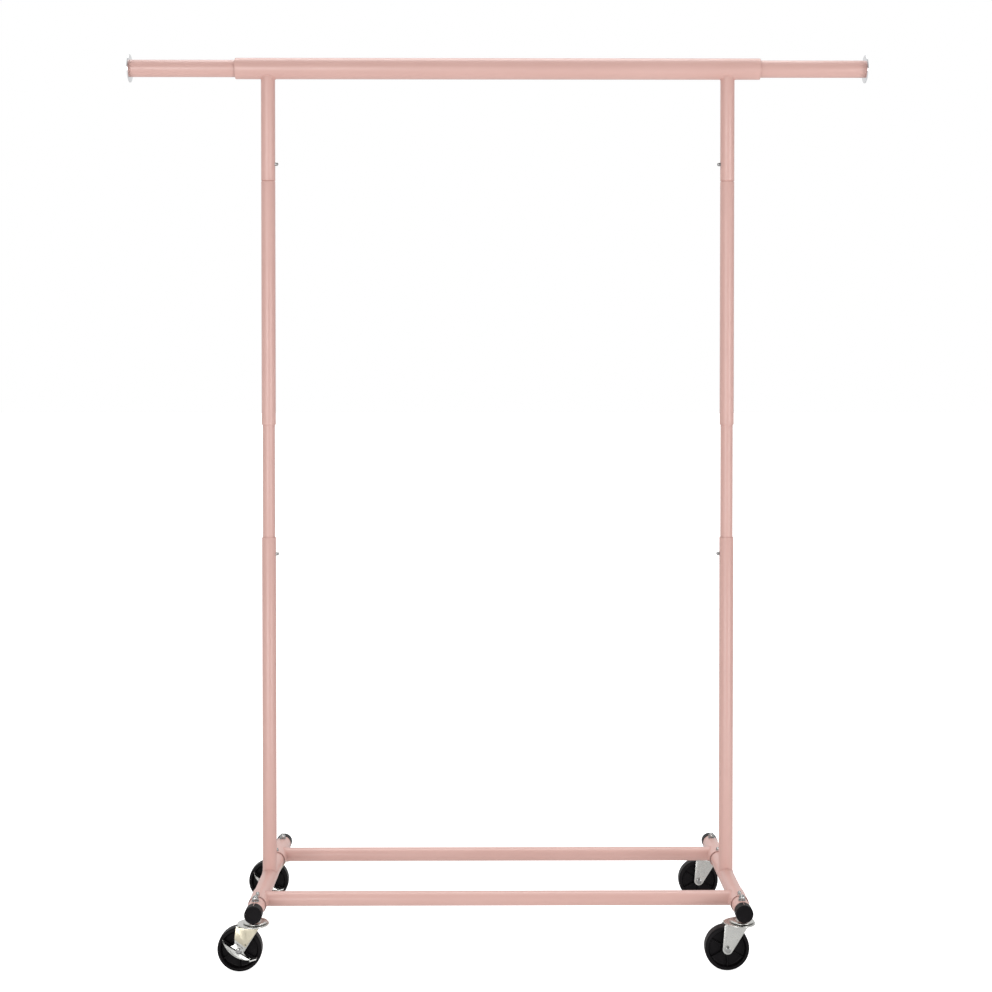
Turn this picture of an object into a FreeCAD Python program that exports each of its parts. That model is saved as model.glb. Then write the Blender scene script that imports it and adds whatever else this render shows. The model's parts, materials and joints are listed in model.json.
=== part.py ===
"""A rolling clothes rack: foot rails on swivel casters, telescopic posts and a hanging bar with pull-out ends.

Millimetres. +Z is up, +X runs along the hanging bar and -Y is the front. The origin is on the floor,
midway between the posts. Every driving dimension is a cell of the sheet named Sizes.
"""

import FreeCAD, Part
import math
import os
import re

import Sketcher

SIZES = {
    # base
    "rail_outer": 28.6,
    "rail_wall": 1.5,
    "rail_length": 450,
    "rail_spacing": 830,
    "cap_rim": 0.7,
    "cap_flange": 6,
    "cap_plug": 16,
    "cap_skirt": 14,
    "cap_slit": 1.2,
    "cap_rounding": 2.2,
    "base_bar_outer": 25.4,
    "base_bar_wall": 1.2,
    "base_bar_inset": 88,
    "collar_wall": 1.4,
    "collar_length": 56,
    "collar_forward": 11,
    "base_button_forward": 32,
    # posts
    "lower_post_outer": 25.4,
    "lower_post_wall": 1.2,
    "lower_post_top": 720,
    "height_step": 100,
    "stop_below_rim": 30,
    "inner_post_wall": 1.5,
    "inner_post_below_stop": 40,
    "inner_post_in_middle": 60,
    "inner_post_showing": 204,
    "middle_post_wall": 1.5,
    "middle_post_length": 441,
    "neck_step": 1.6,
    "neck_wall": 1.5,
    "neck_length": 65,
    "neck_shoulder": 2,
    "upper_button_rise": 30,
    "upper_post_wall": 1.5,
    "upper_post_length": 202,
    # hanging bar
    "bar_outer": 38.1,
    "bar_wall": 1.5,
    "bar_overhang": 58.5,
    "bar_rounding": 0.9,
    "rod_wall": 1.2,
    "rod_showing": 189.5,
    "bush_wall": 1.65,
    "bush_length": 30,
    "bush_recess": 1.5,
    "glide_length": 14,
    "spigot_length": 15,
    "stop_gap": 0.5,
    "disc_overhang": 5.95,
    "disc_thickness": 2,
    "disc_rounding": 0.6,
    # snap buttons and their leaf springs
    "button_outer": 6.6,
    "button_proud": 5.6,
    "button_dome": 2.4,
    "button_flange_outer": 8.8,
    "button_flange": 0.8,
    "spring_width": 9,
    "spring_thickness": 0.7,
    "spring_reach": 46,
    "spring_overlap": 7,
    # casters
    "stem_inset": 28,
    "stem_outer": 6,
    "kingpin_outer": 12,
    "kingpin_head_outer": 16,
    "kingpin_head": 2.8,
    "dish_outer": 42,
    "dish_height": 3.6,
    "dish_rounding": 1.4,
    "boss_outer": 20,
    "boss_height": 4.6,
    "washer_outer": 13,
    "washer_height": 1.2,
    "nut_flats": 10,
    "nut_height": 5,
    "nut_dome": 3.6,
    "crown_outer": 54,
    "crown_offset": 4,
    "crown_height": 2.6,
    "crown_rounding": 1.1,
    "race_gap": 0.6,
    "race_diameter": 30,
    "ball_outer": 3.2,
    "ball_count": 12,
    "wheel_outer": 76,
    "wheel_width": 25,
    "wheel_shoulder": 2.2,
    "wheel_rim": 6.5,
    "web_thickness": 8,
    "web_taper": 1,
    "rib_count": 6,
    "rib_thickness": 2,
    "rib_depth": 18,
    "hub_outer": 20,
    "hub_width": 27,
    "wheel_trail": 26,
    "wheel_to_crown": 1.8,
    "fork_wall": 2,
    "fork_foot": 17,
    "fork_head_back": 5,
    "fork_head_front": 36,
    "sleeve_outer": 12,
    "sleeve_end_gap": 0.5,
    "axle_outer": 6,
    "axle_head_flats": 10,
    "axle_head": 4,
    "axle_rivet_outer": 11,
    "axle_rivet": 2,
    "axle_nut_height": 5,
    "axle_tip": 1.5,
    # wheel brakes
    "lever_thickness": 1.8,
    "lever_heel_back": 27.5,
    "lever_heel_up": 19,
    "lever_toe_front": 22,
    "lever_toe_down": 15.5,
    "lever_lower_radius": 46,
    "lever_upper_radius": 66,
    "lever_thumb_back": 15,
    "lever_thumb_up": 20.5,
    "lever_thumb_outer": 24,
    "lever_waist_front": 24,
    "lever_waist_up": 3.5,
    "lever_waist_outer": 34,
    "tab_length": 11,
    "tab_rise": 3.5,
    "tab_thickness": 2,
    "tab_depth": 12,
    "plate_thickness": 1.2,
    "plate_back": 7,
    "plate_corner_up": 20.5,
    "plate_tip_front": 11.8,
    "plate_tip_up": 6,
    "plate_head_front": 35,
    "plate_fold": 5,
    # clearances
    "slide_clearance": 0.4,
    "collar_clearance": 0.2,
    "sleeve_fit": 0.1,
    "running_fit": 0.1,
    "hole_clearance": 0.4,
    "layer_gap": 0.3,
}

DERIVED = {
    "axle_height": "wheel_outer / 2",
    "crown_bottom": "wheel_outer + wheel_to_crown",
    "crown_top": "crown_bottom + crown_height",
    "race_height": "crown_top + race_gap / 2",
    "dish_bottom": "crown_top + race_gap",
    "dish_top": "dish_bottom + dish_height",
    "rail_bottom": "dish_top + boss_height",
    "rail_height": "rail_bottom + rail_outer / 2",
    "rail_top": "rail_bottom + rail_outer",
    "washer_top": "rail_top + washer_height",
    "rail_side": "rail_spacing / 2",
    "rail_inner": "rail_outer - 2 * rail_wall",
    "stem_side": "rail_length / 2 - stem_inset",
    "base_bar_side": "rail_length / 2 - base_bar_inset",
    "collar_outer": "rail_outer + 2 * (collar_clearance + collar_wall)",
    "cap_outer": "rail_outer + 2 * cap_rim",
    "height_stop": "lower_post_top - stop_below_rim",
    "inner_post_outer": "lower_post_outer - 2 * lower_post_wall - 2 * slide_clearance",
    "middle_post_outer": "inner_post_outer + 2 * (sleeve_fit + middle_post_wall)",
    "middle_post_bottom": "lower_post_top + inner_post_showing",
    "middle_post_top": "middle_post_bottom + middle_post_length",
    "neck_outer": "middle_post_outer - 2 * neck_step",
    "upper_post_outer": "neck_outer + 2 * (sleeve_fit + upper_post_wall)",
    "bar_height": "middle_post_top + upper_post_length",
    "bar_length": "rail_spacing + 2 * bar_overhang",
    "bush_outer": "bar_outer - 2 * bar_wall - 2 * sleeve_fit",
    "rod_outer": "bush_outer - 2 * bush_wall - 2 * slide_clearance",
    "disc_outer": "bar_outer + 2 * disc_overhang",
    "inner_post_bottom": "height_stop - inner_post_below_stop",
    "inner_bore": "inner_post_outer - 2 * inner_post_wall",
    "neck_bore": "neck_outer - 2 * neck_wall",
    "upper_button_height": "middle_post_top + upper_button_rise",
    "rod_start": "bar_length / 2 - bush_recess - bush_length - stop_gap",
    "rod_end": "bar_length / 2 + rod_showing",
    "button_hole": "button_outer + 2 * hole_clearance",
    "fork_inside": "hub_width + 2 * sleeve_end_gap",
    "fork_outside": "fork_inside + 2 * fork_wall",
    "lever_inner_face": "fork_outside / 2 + layer_gap",
    "lever_outer_face": "lever_inner_face + lever_thickness",
    "plate_inner_face": "lever_outer_face + layer_gap",
    "plate_outer_face": "plate_inner_face + plate_thickness",
}

ORDER = (*SIZES, *DERIVED)
WORD = re.compile(r"\b[a-z]+(?:_[a-z]+)+\b")
CORNERS = {"front_left": (-1, -1), "front_right": (1, -1), "rear_left": (-1, 1), "rear_right": (1, 1)}
SIDES = {"left": -1, "right": 1}
FULL_TURN = 360
HALF_TURN = FreeCAD.Rotation(FreeCAD.Vector(0, 0, 1), 180)
X_UP = FreeCAD.Rotation(FreeCAD.Vector(0, 1, 0), -90)
NO_TURN = FreeCAD.Rotation()

doc = FreeCAD.newDocument("clothes_rack")
sheet = doc.addObject("Spreadsheet::Sheet", "Sizes")
nodes = []


def bound(text):
    """The expression with each size's name written as a reference to its cell."""
    return WORD.sub(lambda found: "Sizes." + found.group(), text)


def value(text):
    """What an expression in the sizes comes to, in mm."""
    found = sheet.evalExpression(bound(text))
    return float(getattr(found, "Value", found))


def fill_sheet():
    """Column A names each size, and column B holds its number or its formula."""
    for row, alias in enumerate(ORDER, start=1):
        sheet.set(f"A{row}", alias)
        sheet.setAlias(f"B{row}", alias)
        sheet.set(f"B{row}", str(SIZES[alias]) if alias in SIZES else "=" + DERIVED[alias])
    doc.recompute()


# sketches and features


def new_body(name):
    body = doc.addObject("PartDesign::Body", name)
    body.Label = name
    return body


def new_sketch(body, plane, away="0"):
    """A sketch on one of the body's own origin planes, moved along that plane's normal."""
    sketch = body.newObject("Sketcher::SketchObject", body.Name + "_sketch")
    role = plane + "_Plane"
    face = next(f for f in body.Origin.OriginFeatures if f.Role == role)
    sketch.AttachmentSupport = [(face, "")]
    sketch.MapMode = "FlatFace"
    sketch.setExpression("AttachmentOffset.Base.z", bound(away))
    return sketch


def constrain(sketch, kind, *arguments):
    """Adds a dimension whose last argument is an expression, and binds it to the sheet."""
    *where, text = arguments
    index = sketch.addConstraint(Sketcher.Constraint(kind, *where, value(text)))
    sketch.setExpression(f"Constraints[{index}]", bound(text))


def pin_point(sketch, geometry, point, across, up):
    constrain(sketch, "DistanceX", -1, 1, geometry, point, across)
    constrain(sketch, "DistanceY", -1, 1, geometry, point, up)


def circle(sketch, diameter, across="0", up="0"):
    centre = FreeCAD.Vector(value(across), value(up), 0)
    index = sketch.addGeometry(Part.Circle(centre, FreeCAD.Vector(0, 0, 1), value(diameter) / 2), False)
    pin_point(sketch, index, 3, across, up)
    constrain(sketch, "Diameter", index, diameter)


def ring(sketch, outer, wall):
    circle(sketch, outer)
    circle(sketch, f"{outer} - 2 * {wall}")


def polygon(sketch, corners):
    """A closed outline through (across, up) pairs of expressions."""
    places = [FreeCAD.Vector(value(across), value(up), 0) for across, up in corners]
    first = sketch.GeometryCount
    count = len(corners)
    for n, place in enumerate(places):
        sketch.addGeometry(Part.LineSegment(place, places[(n + 1) % count]), False)
    for n, (across, up) in enumerate(corners):
        sketch.addConstraint(Sketcher.Constraint("Coincident", first + n, 2, first + (n + 1) % count, 1))
        pin_point(sketch, first + n, 1, across, up)


def hexagon(sketch, flats):
    """A regular hexagon about the sketch's origin, given across its flats."""
    corner = f"{flats} / 2 / cos(30)"
    polygon(sketch, [(f"{corner} * cos({60 * n})", f"{corner} * sin({60 * n})") for n in range(6)])


def arc_between(sketch, start, end, radius):
    """An arc of the given radius that turns anticlockwise from start to end. Returns its index."""
    first = FreeCAD.Vector(value(start[0]), value(start[1]), 0)
    last = FreeCAD.Vector(value(end[0]), value(end[1]), 0)
    chord = last - first
    reach = value(radius)
    height = math.sqrt(reach**2 - (chord.Length / 2) ** 2)
    centre = (first + last) / 2 + FreeCAD.Vector(-chord.y, chord.x, 0).normalize() * height
    angles = [math.atan2(p.y - centre.y, p.x - centre.x) for p in (first, last)]
    whole = Part.Circle(centre, FreeCAD.Vector(0, 0, 1), reach)
    index = sketch.addGeometry(Part.ArcOfCircle(whole, *angles), False)
    constrain(sketch, "Radius", index, radius)
    return index


def pad(sketch, length, both_ways=False, reverse=False):
    feature = sketch.getParent().newObject("PartDesign::Pad", sketch.Name + "_pad")
    feature.Profile = sketch
    feature.setExpression("Length", bound(length))
    feature.Midplane = both_ways
    feature.Reversed = reverse
    return feature


def cut_through(sketch, both_ways=True, reverse=False):
    """A pocket through all, to both sides of the sketch or to the side given by reverse."""
    feature = sketch.getParent().newObject("PartDesign::Pocket", sketch.Name + "_pocket")
    feature.Profile = sketch
    feature.Type = "ThroughAll"
    feature.Midplane = both_ways
    feature.Reversed = reverse
    return feature


def turn(sketch, axis, kind="Revolution"):
    feature = sketch.getParent().newObject("PartDesign::" + kind, sketch.Name + "_turned")
    feature.Profile = sketch
    feature.ReferenceAxis = (sketch, [axis])
    feature.Angle = FULL_TURN
    return feature


def around(body, feature, role, count):
    """Repeats a feature evenly about one of the body's origin axes."""
    pattern = body.newObject("PartDesign::PolarPattern", body.Name + "_pattern")
    pattern.Originals = [feature]
    pattern.Axis = (next(f for f in body.Origin.OriginFeatures if f.Role == role + "_Axis"), [""])
    pattern.Angle = FULL_TURN
    pattern.setExpression("Occurrences", bound(count))
    body.Tip = pattern


def round_edges(body, base, radius, wanted):
    """Fillets the edges of base that wanted(edge) picks."""
    doc.recompute()
    names = [f"Edge{n}" for n, edge in enumerate(base.Shape.Edges, start=1) if wanted(edge)]
    if not names:
        raise RuntimeError(f"{body.Label} has no edge to round")
    fillet = body.newObject("PartDesign::Fillet", body.Name + "_fillet")
    fillet.Base = (base, names)
    fillet.setExpression("Radius", bound(radius))
    return fillet


def is_circle(edge, diameter, axis, place):
    """Is the edge a full circle of this diameter, at this place along the axis?"""
    if not edge.Closed or not isinstance(edge.Curve, Part.Circle):
        return False
    at_place = abs(getattr(edge.Curve.Center, axis) - value(place)) < 1e-3
    return at_place and abs(edge.Curve.Radius - value(diameter) / 2) < 1e-3


def place(item, across="0", along="0", up="0", rotation=NO_TURN):
    item.Placement = FreeCAD.Placement(FreeCAD.Vector(), rotation)
    for letter, text in zip("xyz", (across, along, up)):
        item.setExpression(f"Placement.Base.{letter}", bound(text))
    return item


def keep(item, name=None):
    """Marks an object as a node, which is written to a file of its own."""
    item.Label = name or item.Label
    nodes.append(item)


def keep_group(name, members):
    """Keeps several pieces as one node."""
    group = doc.addObject("Part::Compound", name)
    group.Links = members
    keep(group, name)


# shapes that several pieces share


def tube(name, plane, outer, wall, length, both_ways=False, away="0"):
    body = new_body(name)
    sketch = new_sketch(body, plane, away)
    ring(sketch, outer, wall)
    return body, pad(sketch, length, both_ways)


def cope(body, plane, diameter, across="0", up="0"):
    """Cuts a round seat right across the body, where it meets another tube."""
    seat = new_sketch(body, plane)
    circle(seat, diameter, across, up)
    cut_through(seat)


def side_holes(body, heights, diameter="button_hole"):
    """Round holes in the wall on the +X side, for the snap buttons."""
    sketch = new_sketch(body, "YZ")
    for height in heights:
        circle(sketch, diameter, "0", height)
    cut_through(sketch, both_ways=False, reverse=True)


def hex_nut(name, flats, bore, height, dome="0", away="0"):
    """A nut that stands on its XY plane."""
    body = new_body(name)
    outline = new_sketch(body, "XY", away)
    hexagon(outline, flats)
    if dome == "0":
        circle(outline, bore)
    feature = pad(outline, height if dome == "0" else f"{height} + {dome}")
    if dome != "0":
        hole = new_sketch(body, "XY", away)
        circle(hole, bore)
        drill = body.newObject("PartDesign::Pocket", name + "_bore")
        drill.Profile = hole
        drill.setExpression("Length", bound(height))
        drill.Reversed = True
        crown_nut(body, flats, height, dome)
        feature = drill
    return body, feature


def crown_nut(body, flats, height, dome):
    """Turns the nut's top down to a dome."""
    profile = new_sketch(body, "XZ")
    radius = f"{flats} / 2"
    far = f"{flats}"
    polygon(
        profile,
        [
            (f"{radius} * 0.9", f"{height} + {dome} * 0.15"),
            (far, f"{height} - {dome} * 0.15"),
            (far, f"{height} + {dome} * 2"),
            ("0", f"{height} + {dome} * 2"),
            ("0", f"{height} + {dome}"),
            (f"{radius} * 0.5", f"{height} + {dome} * 0.8"),
        ],
    )
    turn(profile, "V_Axis", "Groove")


def snap_button(name, seat, surface):
    """A domed button along +X. Its flange bears on the tube's inside at seat, and its tip stands proud of surface."""
    body = new_body(name)
    flange = new_sketch(body, "YZ", f"{seat} - button_flange")
    circle(flange, "button_flange_outer")
    pad(flange, "button_flange")
    shank = new_sketch(body, "YZ", seat)
    circle(shank, "button_outer")
    tip = f"{surface} + button_proud"
    top = pad(shank, f"{tip} - ({seat})")
    round_edges(body, top, "button_dome", lambda edge: is_circle(edge, "button_outer", "x", tip))
    return body


def leaf_spring(name, seat, back):
    """A V of flat strip in the XZ plane: one leg behind the button's flange, the other against the far wall."""
    body = new_body(name)
    sketch = new_sketch(body, "XZ")
    front = f"{seat} - button_flange"
    polygon(
        sketch,
        [
            (front, "spring_overlap"),
            (f"{front} - spring_thickness", "spring_overlap"),
            (f"{front} - spring_thickness", "-spring_overlap"),
            ("0", "-spring_reach + 2 * spring_thickness"),
            (f"spring_thickness - {back}", "-spring_overlap"),
            (f"spring_thickness - {back}", "spring_overlap"),
            (f"-{back}", "spring_overlap"),
            (f"-{back}", "-spring_overlap"),
            ("-spring_thickness", "-spring_reach"),
            ("spring_thickness", "-spring_reach"),
            (front, "-spring_overlap"),
        ],
    )
    pad(sketch, "spring_width", both_ways=True)
    return body


def chord_reach(bore, width):
    """How far from a bore's axis something of this width can lie inside it."""
    return f"(sqrt(({bore} / 2)^2 - ({width} / 2)^2) - layer_gap)"


# base


def foot_rail(side, sign):
    body, _ = tube(f"{side}_foot_rail", "XZ", "rail_outer", "rail_wall", "rail_length", both_ways=True)
    stems = new_sketch(body, "XY")
    for end in ("-", ""):
        circle(stems, "stem_outer + 2 * hole_clearance", "0", f"{end}stem_side")
    cut_through(stems)
    buttons = new_sketch(body, "XY")
    for end in ("-", ""):
        circle(buttons, "button_hole", "0", f"{end}base_bar_side - base_button_forward")
    cut_through(buttons, both_ways=False, reverse=True)
    keep(place(body, f"{sign} * rail_side", "0", "rail_height"))


def end_cap(corner, across, along):
    body = new_body(f"{corner}_end_cap")
    flange = new_sketch(body, "XZ")
    circle(flange, "cap_outer")
    pad(flange, "cap_flange")
    skirt = new_sketch(body, "XZ")
    circle(skirt, "cap_outer")
    circle(skirt, "rail_outer + 2 * sleeve_fit")
    pad(skirt, "cap_skirt", reverse=True)
    slit = new_sketch(body, "XY")
    half = "cap_slit / 2"
    past = "2 * cap_skirt"
    polygon(slit, [(f"-{half}", "0"), (half, "0"), (half, past), (f"-{half}", past)])
    cut_through(slit, both_ways=False, reverse=True)
    plug = new_sketch(body, "XZ")
    circle(plug, "rail_inner - 2 * sleeve_fit")
    pad(plug, "cap_plug", reverse=True)
    round_edges(body, body.Tip, "cap_rounding", lambda edge: is_circle(edge, "cap_outer", "y", "-cap_flange"))
    rotation = NO_TURN if along < 0 else HALF_TURN
    return place(body, f"{across} * rail_side", f"{along} * rail_length / 2", "rail_height", rotation)


def base_bar(end, along):
    body, _ = tube(
        f"{end}_base_bar", "YZ", "base_bar_outer", "base_bar_wall", "rail_spacing", both_ways=True
    )
    for side in ("-", ""):
        cope(body, "XZ", "collar_outer", f"{side}rail_side")
    keep(place(body, "0", f"{along} * base_bar_side", "rail_height"))


def bar_collar(name, across, along):
    body, _ = tube(name, "XZ", "collar_outer", "collar_wall", "collar_length", both_ways=True)
    hole = new_sketch(body, "XY")
    circle(hole, "button_hole", "0", "collar_forward - base_button_forward")
    cut_through(hole, both_ways=False, reverse=True)
    return place(body, f"{across} * rail_side", f"{along} * base_bar_side - collar_forward", "rail_height")


def base():
    for side, sign in SIDES.items():
        foot_rail(side, sign)
    keep_group("foot_rail_end_caps", [end_cap(name, *signs) for name, signs in CORNERS.items()])
    for end, along in (("front", -1), ("rear", 1)):
        base_bar(end, along)
        collars = [bar_collar(f"{end}_{side}_collar", sign, along) for side, sign in SIDES.items()]
        keep_group(f"{end}_bar_collars", collars)


def base_buttons():
    """The four buttons that lock the collars to the foot rails, and the springs under them."""
    seat = chord_reach("rail_inner", "button_flange_outer")
    back = chord_reach("rail_inner", "spring_width")
    springs = []
    for name, (across, along) in CORNERS.items():
        where = (f"{across} * rail_side", f"{along} * base_bar_side - base_button_forward", "rail_height")
        keep(place(snap_button(f"{name}_base_button", seat, "collar_outer / 2"), *where, X_UP))
        towards_middle = FreeCAD.Rotation(FreeCAD.Vector(0, 0, 1), -90 * along)
        spring = leaf_spring(f"{name}_base_spring", seat, back)
        springs.append(place(spring, *where, towards_middle.multiply(X_UP)))
    keep_group("base_button_springs", springs)


# posts


def lower_post(side, sign):
    body, _ = tube(
        f"{side}_lower_post", "XY", "lower_post_outer", "lower_post_wall", "lower_post_top - rail_height"
    )
    cope(body, "XZ", "rail_outer")
    side_holes(body, [f"height_stop - {n} * height_step - rail_height" for n in range(3)])
    keep(place(body, f"{sign} * rail_side", "0", "rail_height", facing_in(sign)))


def facing_in(sign):
    """Turns a post's +X side towards the middle of the rack."""
    return NO_TURN if sign < 0 else HALF_TURN


def inner_post(side, sign):
    length = "middle_post_bottom + inner_post_in_middle - inner_post_bottom"
    body, _ = tube(f"{side}_inner_post", "XY", "inner_post_outer", "inner_post_wall", length)
    side_holes(body, ["inner_post_below_stop"])
    keep(place(body, f"{sign} * rail_side", "0", "inner_post_bottom", facing_in(sign)))


def middle_post(side, sign):
    """A tube that is swaged down at its top, so that it plugs into the upper post."""
    body = new_body(f"{side}_middle_post")
    profile = new_sketch(body, "XZ")
    outer = "middle_post_outer / 2"
    bore = "(inner_post_outer / 2 + sleeve_fit)"
    top = "(middle_post_top - middle_post_bottom)"
    polygon(
        profile,
        [
            (bore, "0"),
            (outer, "0"),
            (outer, f"{top} - neck_shoulder"),
            ("neck_outer / 2", top),
            ("neck_outer / 2", f"{top} + neck_length"),
            ("neck_bore / 2", f"{top} + neck_length"),
            ("neck_bore / 2", top),
            (bore, f"{top} - neck_shoulder"),
        ],
    )
    turn(profile, "V_Axis")
    side_holes(body, [f"{top} + upper_button_rise"])
    keep(place(body, f"{sign} * rail_side", "0", "middle_post_bottom", facing_in(sign)))


def upper_post(side, sign):
    body, _ = tube(
        f"{side}_upper_post", "XY", "upper_post_outer", "upper_post_wall", "bar_height - middle_post_top"
    )
    cope(body, "YZ", "bar_outer", "0", "bar_height - middle_post_top")
    side_holes(body, ["upper_button_rise"])
    keep(place(body, f"{sign} * rail_side", "0", "middle_post_top", facing_in(sign)))


def post_buttons(level, bore, surface, height, flip):
    """One button and one spring in each post. flip puts the spring's bend above the button."""
    seat = chord_reach(bore, "button_flange_outer")
    back = chord_reach(bore, "spring_width")
    springs = []
    for side, sign in SIDES.items():
        where = (f"{sign} * rail_side", "0", height)
        button = snap_button(f"{side}_{level}_button", seat, surface)
        keep(place(button, *where, facing_in(sign)))
        spring = leaf_spring(f"{side}_{level}_spring", seat, back)
        upside_down = FreeCAD.Rotation(FreeCAD.Vector(1, 0, 0), 180 if flip else 0)
        springs.append(place(spring, *where, facing_in(sign).multiply(upside_down)))
    keep_group(f"{level}_button_springs", springs)


def posts():
    for side, sign in SIDES.items():
        lower_post(side, sign)
        inner_post(side, sign)
        middle_post(side, sign)
        upper_post(side, sign)
    post_buttons("height", "inner_bore", "lower_post_outer / 2", "height_stop", flip=True)
    post_buttons("joint", "neck_bore", "upper_post_outer / 2", "upper_button_height", flip=False)


# hanging bar


def hanging_bar():
    body, tubing = tube("hanging_bar", "YZ", "bar_outer", "bar_wall", "bar_length", both_ways=True)
    ends = ("bar_length / 2", "-bar_length / 2")
    round_edges(
        body, tubing, "bar_rounding", lambda edge: any(is_circle(edge, "bar_outer", "x", end) for end in ends)
    )
    keep(place(body, "0", "0", "bar_height"))


def guide_bush(side, sign):
    start = "bar_length / 2 - bush_recess - bush_length"
    body, _ = tube(f"{side}_guide_bush", "YZ", "bush_outer", "bush_wall", "bush_length", away=start)
    return place(body, "0", "0", "bar_height", facing_in(-sign))


def extension_rod(side, sign):
    body, _ = tube(
        f"{side}_extension_rod", "YZ", "rod_outer", "rod_wall", "rod_end - rod_start", away="rod_start"
    )
    keep(place(body, "0", "0", "bar_height", facing_in(-sign)))


def rod_glide(side, sign):
    """The plug on the rod's inner end, whose collar is too big to pass the guide bush."""
    body = new_body(f"{side}_rod_glide")
    collar = new_sketch(body, "YZ", "rod_start - glide_length")
    circle(collar, "bar_outer - 2 * bar_wall - 2 * slide_clearance")
    pad(collar, "glide_length")
    spigot = new_sketch(body, "YZ", "rod_start")
    circle(spigot, "rod_outer - 2 * rod_wall - 2 * sleeve_fit")
    pad(spigot, "spigot_length")
    keep(place(body, "0", "0", "bar_height", facing_in(-sign)))


def end_disc(side, sign):
    body = new_body(f"{side}_end_disc")
    spigot = new_sketch(body, "YZ", "rod_end - spigot_length")
    circle(spigot, "rod_outer - 2 * rod_wall - 2 * sleeve_fit")
    pad(spigot, "spigot_length")
    disc = new_sketch(body, "YZ", "rod_end")
    circle(disc, "disc_outer")
    plate = pad(disc, "disc_thickness")
    rims = ("rod_end", "rod_end + disc_thickness")
    round_edges(
        body, plate, "disc_rounding", lambda edge: any(is_circle(edge, "disc_outer", "x", rim) for rim in rims)
    )
    keep(place(body, "0", "0", "bar_height", facing_in(-sign)))


def bar_assembly():
    hanging_bar()
    keep_group("guide_bushes", [guide_bush(side, sign) for side, sign in SIDES.items()])
    for side, sign in SIDES.items():
        extension_rod(side, sign)
        rod_glide(side, sign)
        end_disc(side, sign)


# casters: local X and Y are zero on the stem's axis, and the wheel trails towards -X


def at_corner(item, across, along, trail="0", up="0"):
    return place(item, f"{across} * rail_side - {trail}", f"{along} * stem_side", up)


def caster_stem(name):
    """Kingpin head, kingpin, upper race dish, boss and threaded stem, in one turned piece."""
    body = new_body(name)
    profile = new_sketch(body, "XZ")
    head = "crown_bottom - layer_gap"
    polygon(
        profile,
        [
            ("0", f"{head} - kingpin_head"),
            ("kingpin_head_outer / 2", f"{head} - kingpin_head"),
            ("kingpin_head_outer / 2", head),
            ("kingpin_outer / 2", head),
            ("kingpin_outer / 2", "dish_bottom"),
            ("dish_outer / 2", "dish_bottom"),
            ("dish_outer / 2", "dish_top - dish_rounding"),
            ("dish_outer / 2 - dish_rounding", "dish_top"),
            ("boss_outer / 2", "dish_top"),
            ("boss_outer / 2 - dish_rounding", "rail_bottom"),
            ("stem_outer / 2", "rail_bottom"),
            ("stem_outer / 2", "washer_top + nut_height - layer_gap"),
            ("0", "washer_top + nut_height - layer_gap"),
        ],
    )
    turn(profile, "V_Axis")
    race_groove(body)
    return body


def race_groove(body, across="0", up="race_height"):
    """The round groove that the balls run in, about an upright axis at across."""
    groove = new_sketch(body, "XZ")
    circle(groove, "ball_outer + layer_gap", f"{across} + race_diameter / 2", up)
    ends = [FreeCAD.Vector(value(across), height, 0) for height in (0, value("fork_foot"))]
    axis = groove.addGeometry(Part.LineSegment(*ends), True)
    pin_point(groove, axis, 1, across, "0")
    pin_point(groove, axis, 2, across, "fork_foot")
    turn(groove, "Axis0", "Groove")


def ball_ring(name):
    """The loose balls between the stem's dish and the fork's crown."""
    balls = []
    count = int(value("ball_count"))
    for n in range(count):
        ball = doc.addObject("Part::Sphere", f"{name}_{n + 1}")
        ball.setExpression("Radius", bound("ball_outer / 2"))
        angle = FULL_TURN * n / count
        place(ball, f"race_diameter / 2 * cos({angle})", f"race_diameter / 2 * sin({angle})", "race_height")
        balls.append(ball)
    ring_of_balls = doc.addObject("Part::Compound", name)
    ring_of_balls.Links = balls
    return ring_of_balls


def stem_washer(name):
    body, _ = tube(
        name, "XY", "washer_outer", "((washer_outer - stem_outer) / 2 - hole_clearance)", "washer_height"
    )
    return body


def stem_nut(name):
    return hex_nut(name, "nut_flats", "stem_outer + 2 * sleeve_fit", "nut_height", "nut_dome")[0]


def fork(name, across, along):
    """A bent plate: a round crown under the stem and two legs that taper down to the axle."""
    body = new_body(f"{name}_fork")
    legs = new_sketch(body, "XZ")
    radius = "fork_foot / 2"
    rise = "(crown_bottom - axle_height + crown_height / 2)"
    slope = f"(atan2({rise}; fork_head_front) - acos({radius} / sqrt({rise}^2 + fork_head_front^2)))"
    polygon(
        legs,
        [
            (f"-{radius}", "0"),
            (f"{radius} * cos({slope})", f"{radius} * sin({slope})"),
            ("fork_head_front", rise),
            ("-fork_head_back", rise),
        ],
    )
    pad(legs, "fork_outside", both_ways=True)
    foot = new_sketch(body, "XZ")
    circle(foot, "fork_foot")
    pad(foot, "fork_outside", both_ways=True)
    gap = new_sketch(body, "YZ")
    side = "fork_inside / 2"
    corners = [(f"-{side}", "-fork_foot"), (side, "-fork_foot")]
    ceiling = "crown_bottom - axle_height"
    polygon(gap, corners + [(side, ceiling), (f"-{side}", ceiling)])
    cut_through(gap)
    crown = new_sketch(body, "XY", "crown_bottom - axle_height")
    circle(crown, "crown_outer", "wheel_trail - crown_offset")
    plate = pad(crown, "crown_height")
    round_edges(
        body,
        plate,
        "crown_rounding",
        lambda edge: is_circle(edge, "crown_outer", "z", "crown_top - axle_height"),
    )
    king = new_sketch(body, "XY")
    circle(king, "kingpin_outer + 2 * layer_gap", "wheel_trail")
    cut_through(king, both_ways=False, reverse=True)
    race_groove(body, "wheel_trail", "race_height - axle_height")
    pivot = new_sketch(body, "XZ")
    circle(pivot, "axle_outer + 2 * running_fit")
    cut_through(pivot)
    keep(at_corner(body, across, along, "wheel_trail", "axle_height"))


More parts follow.
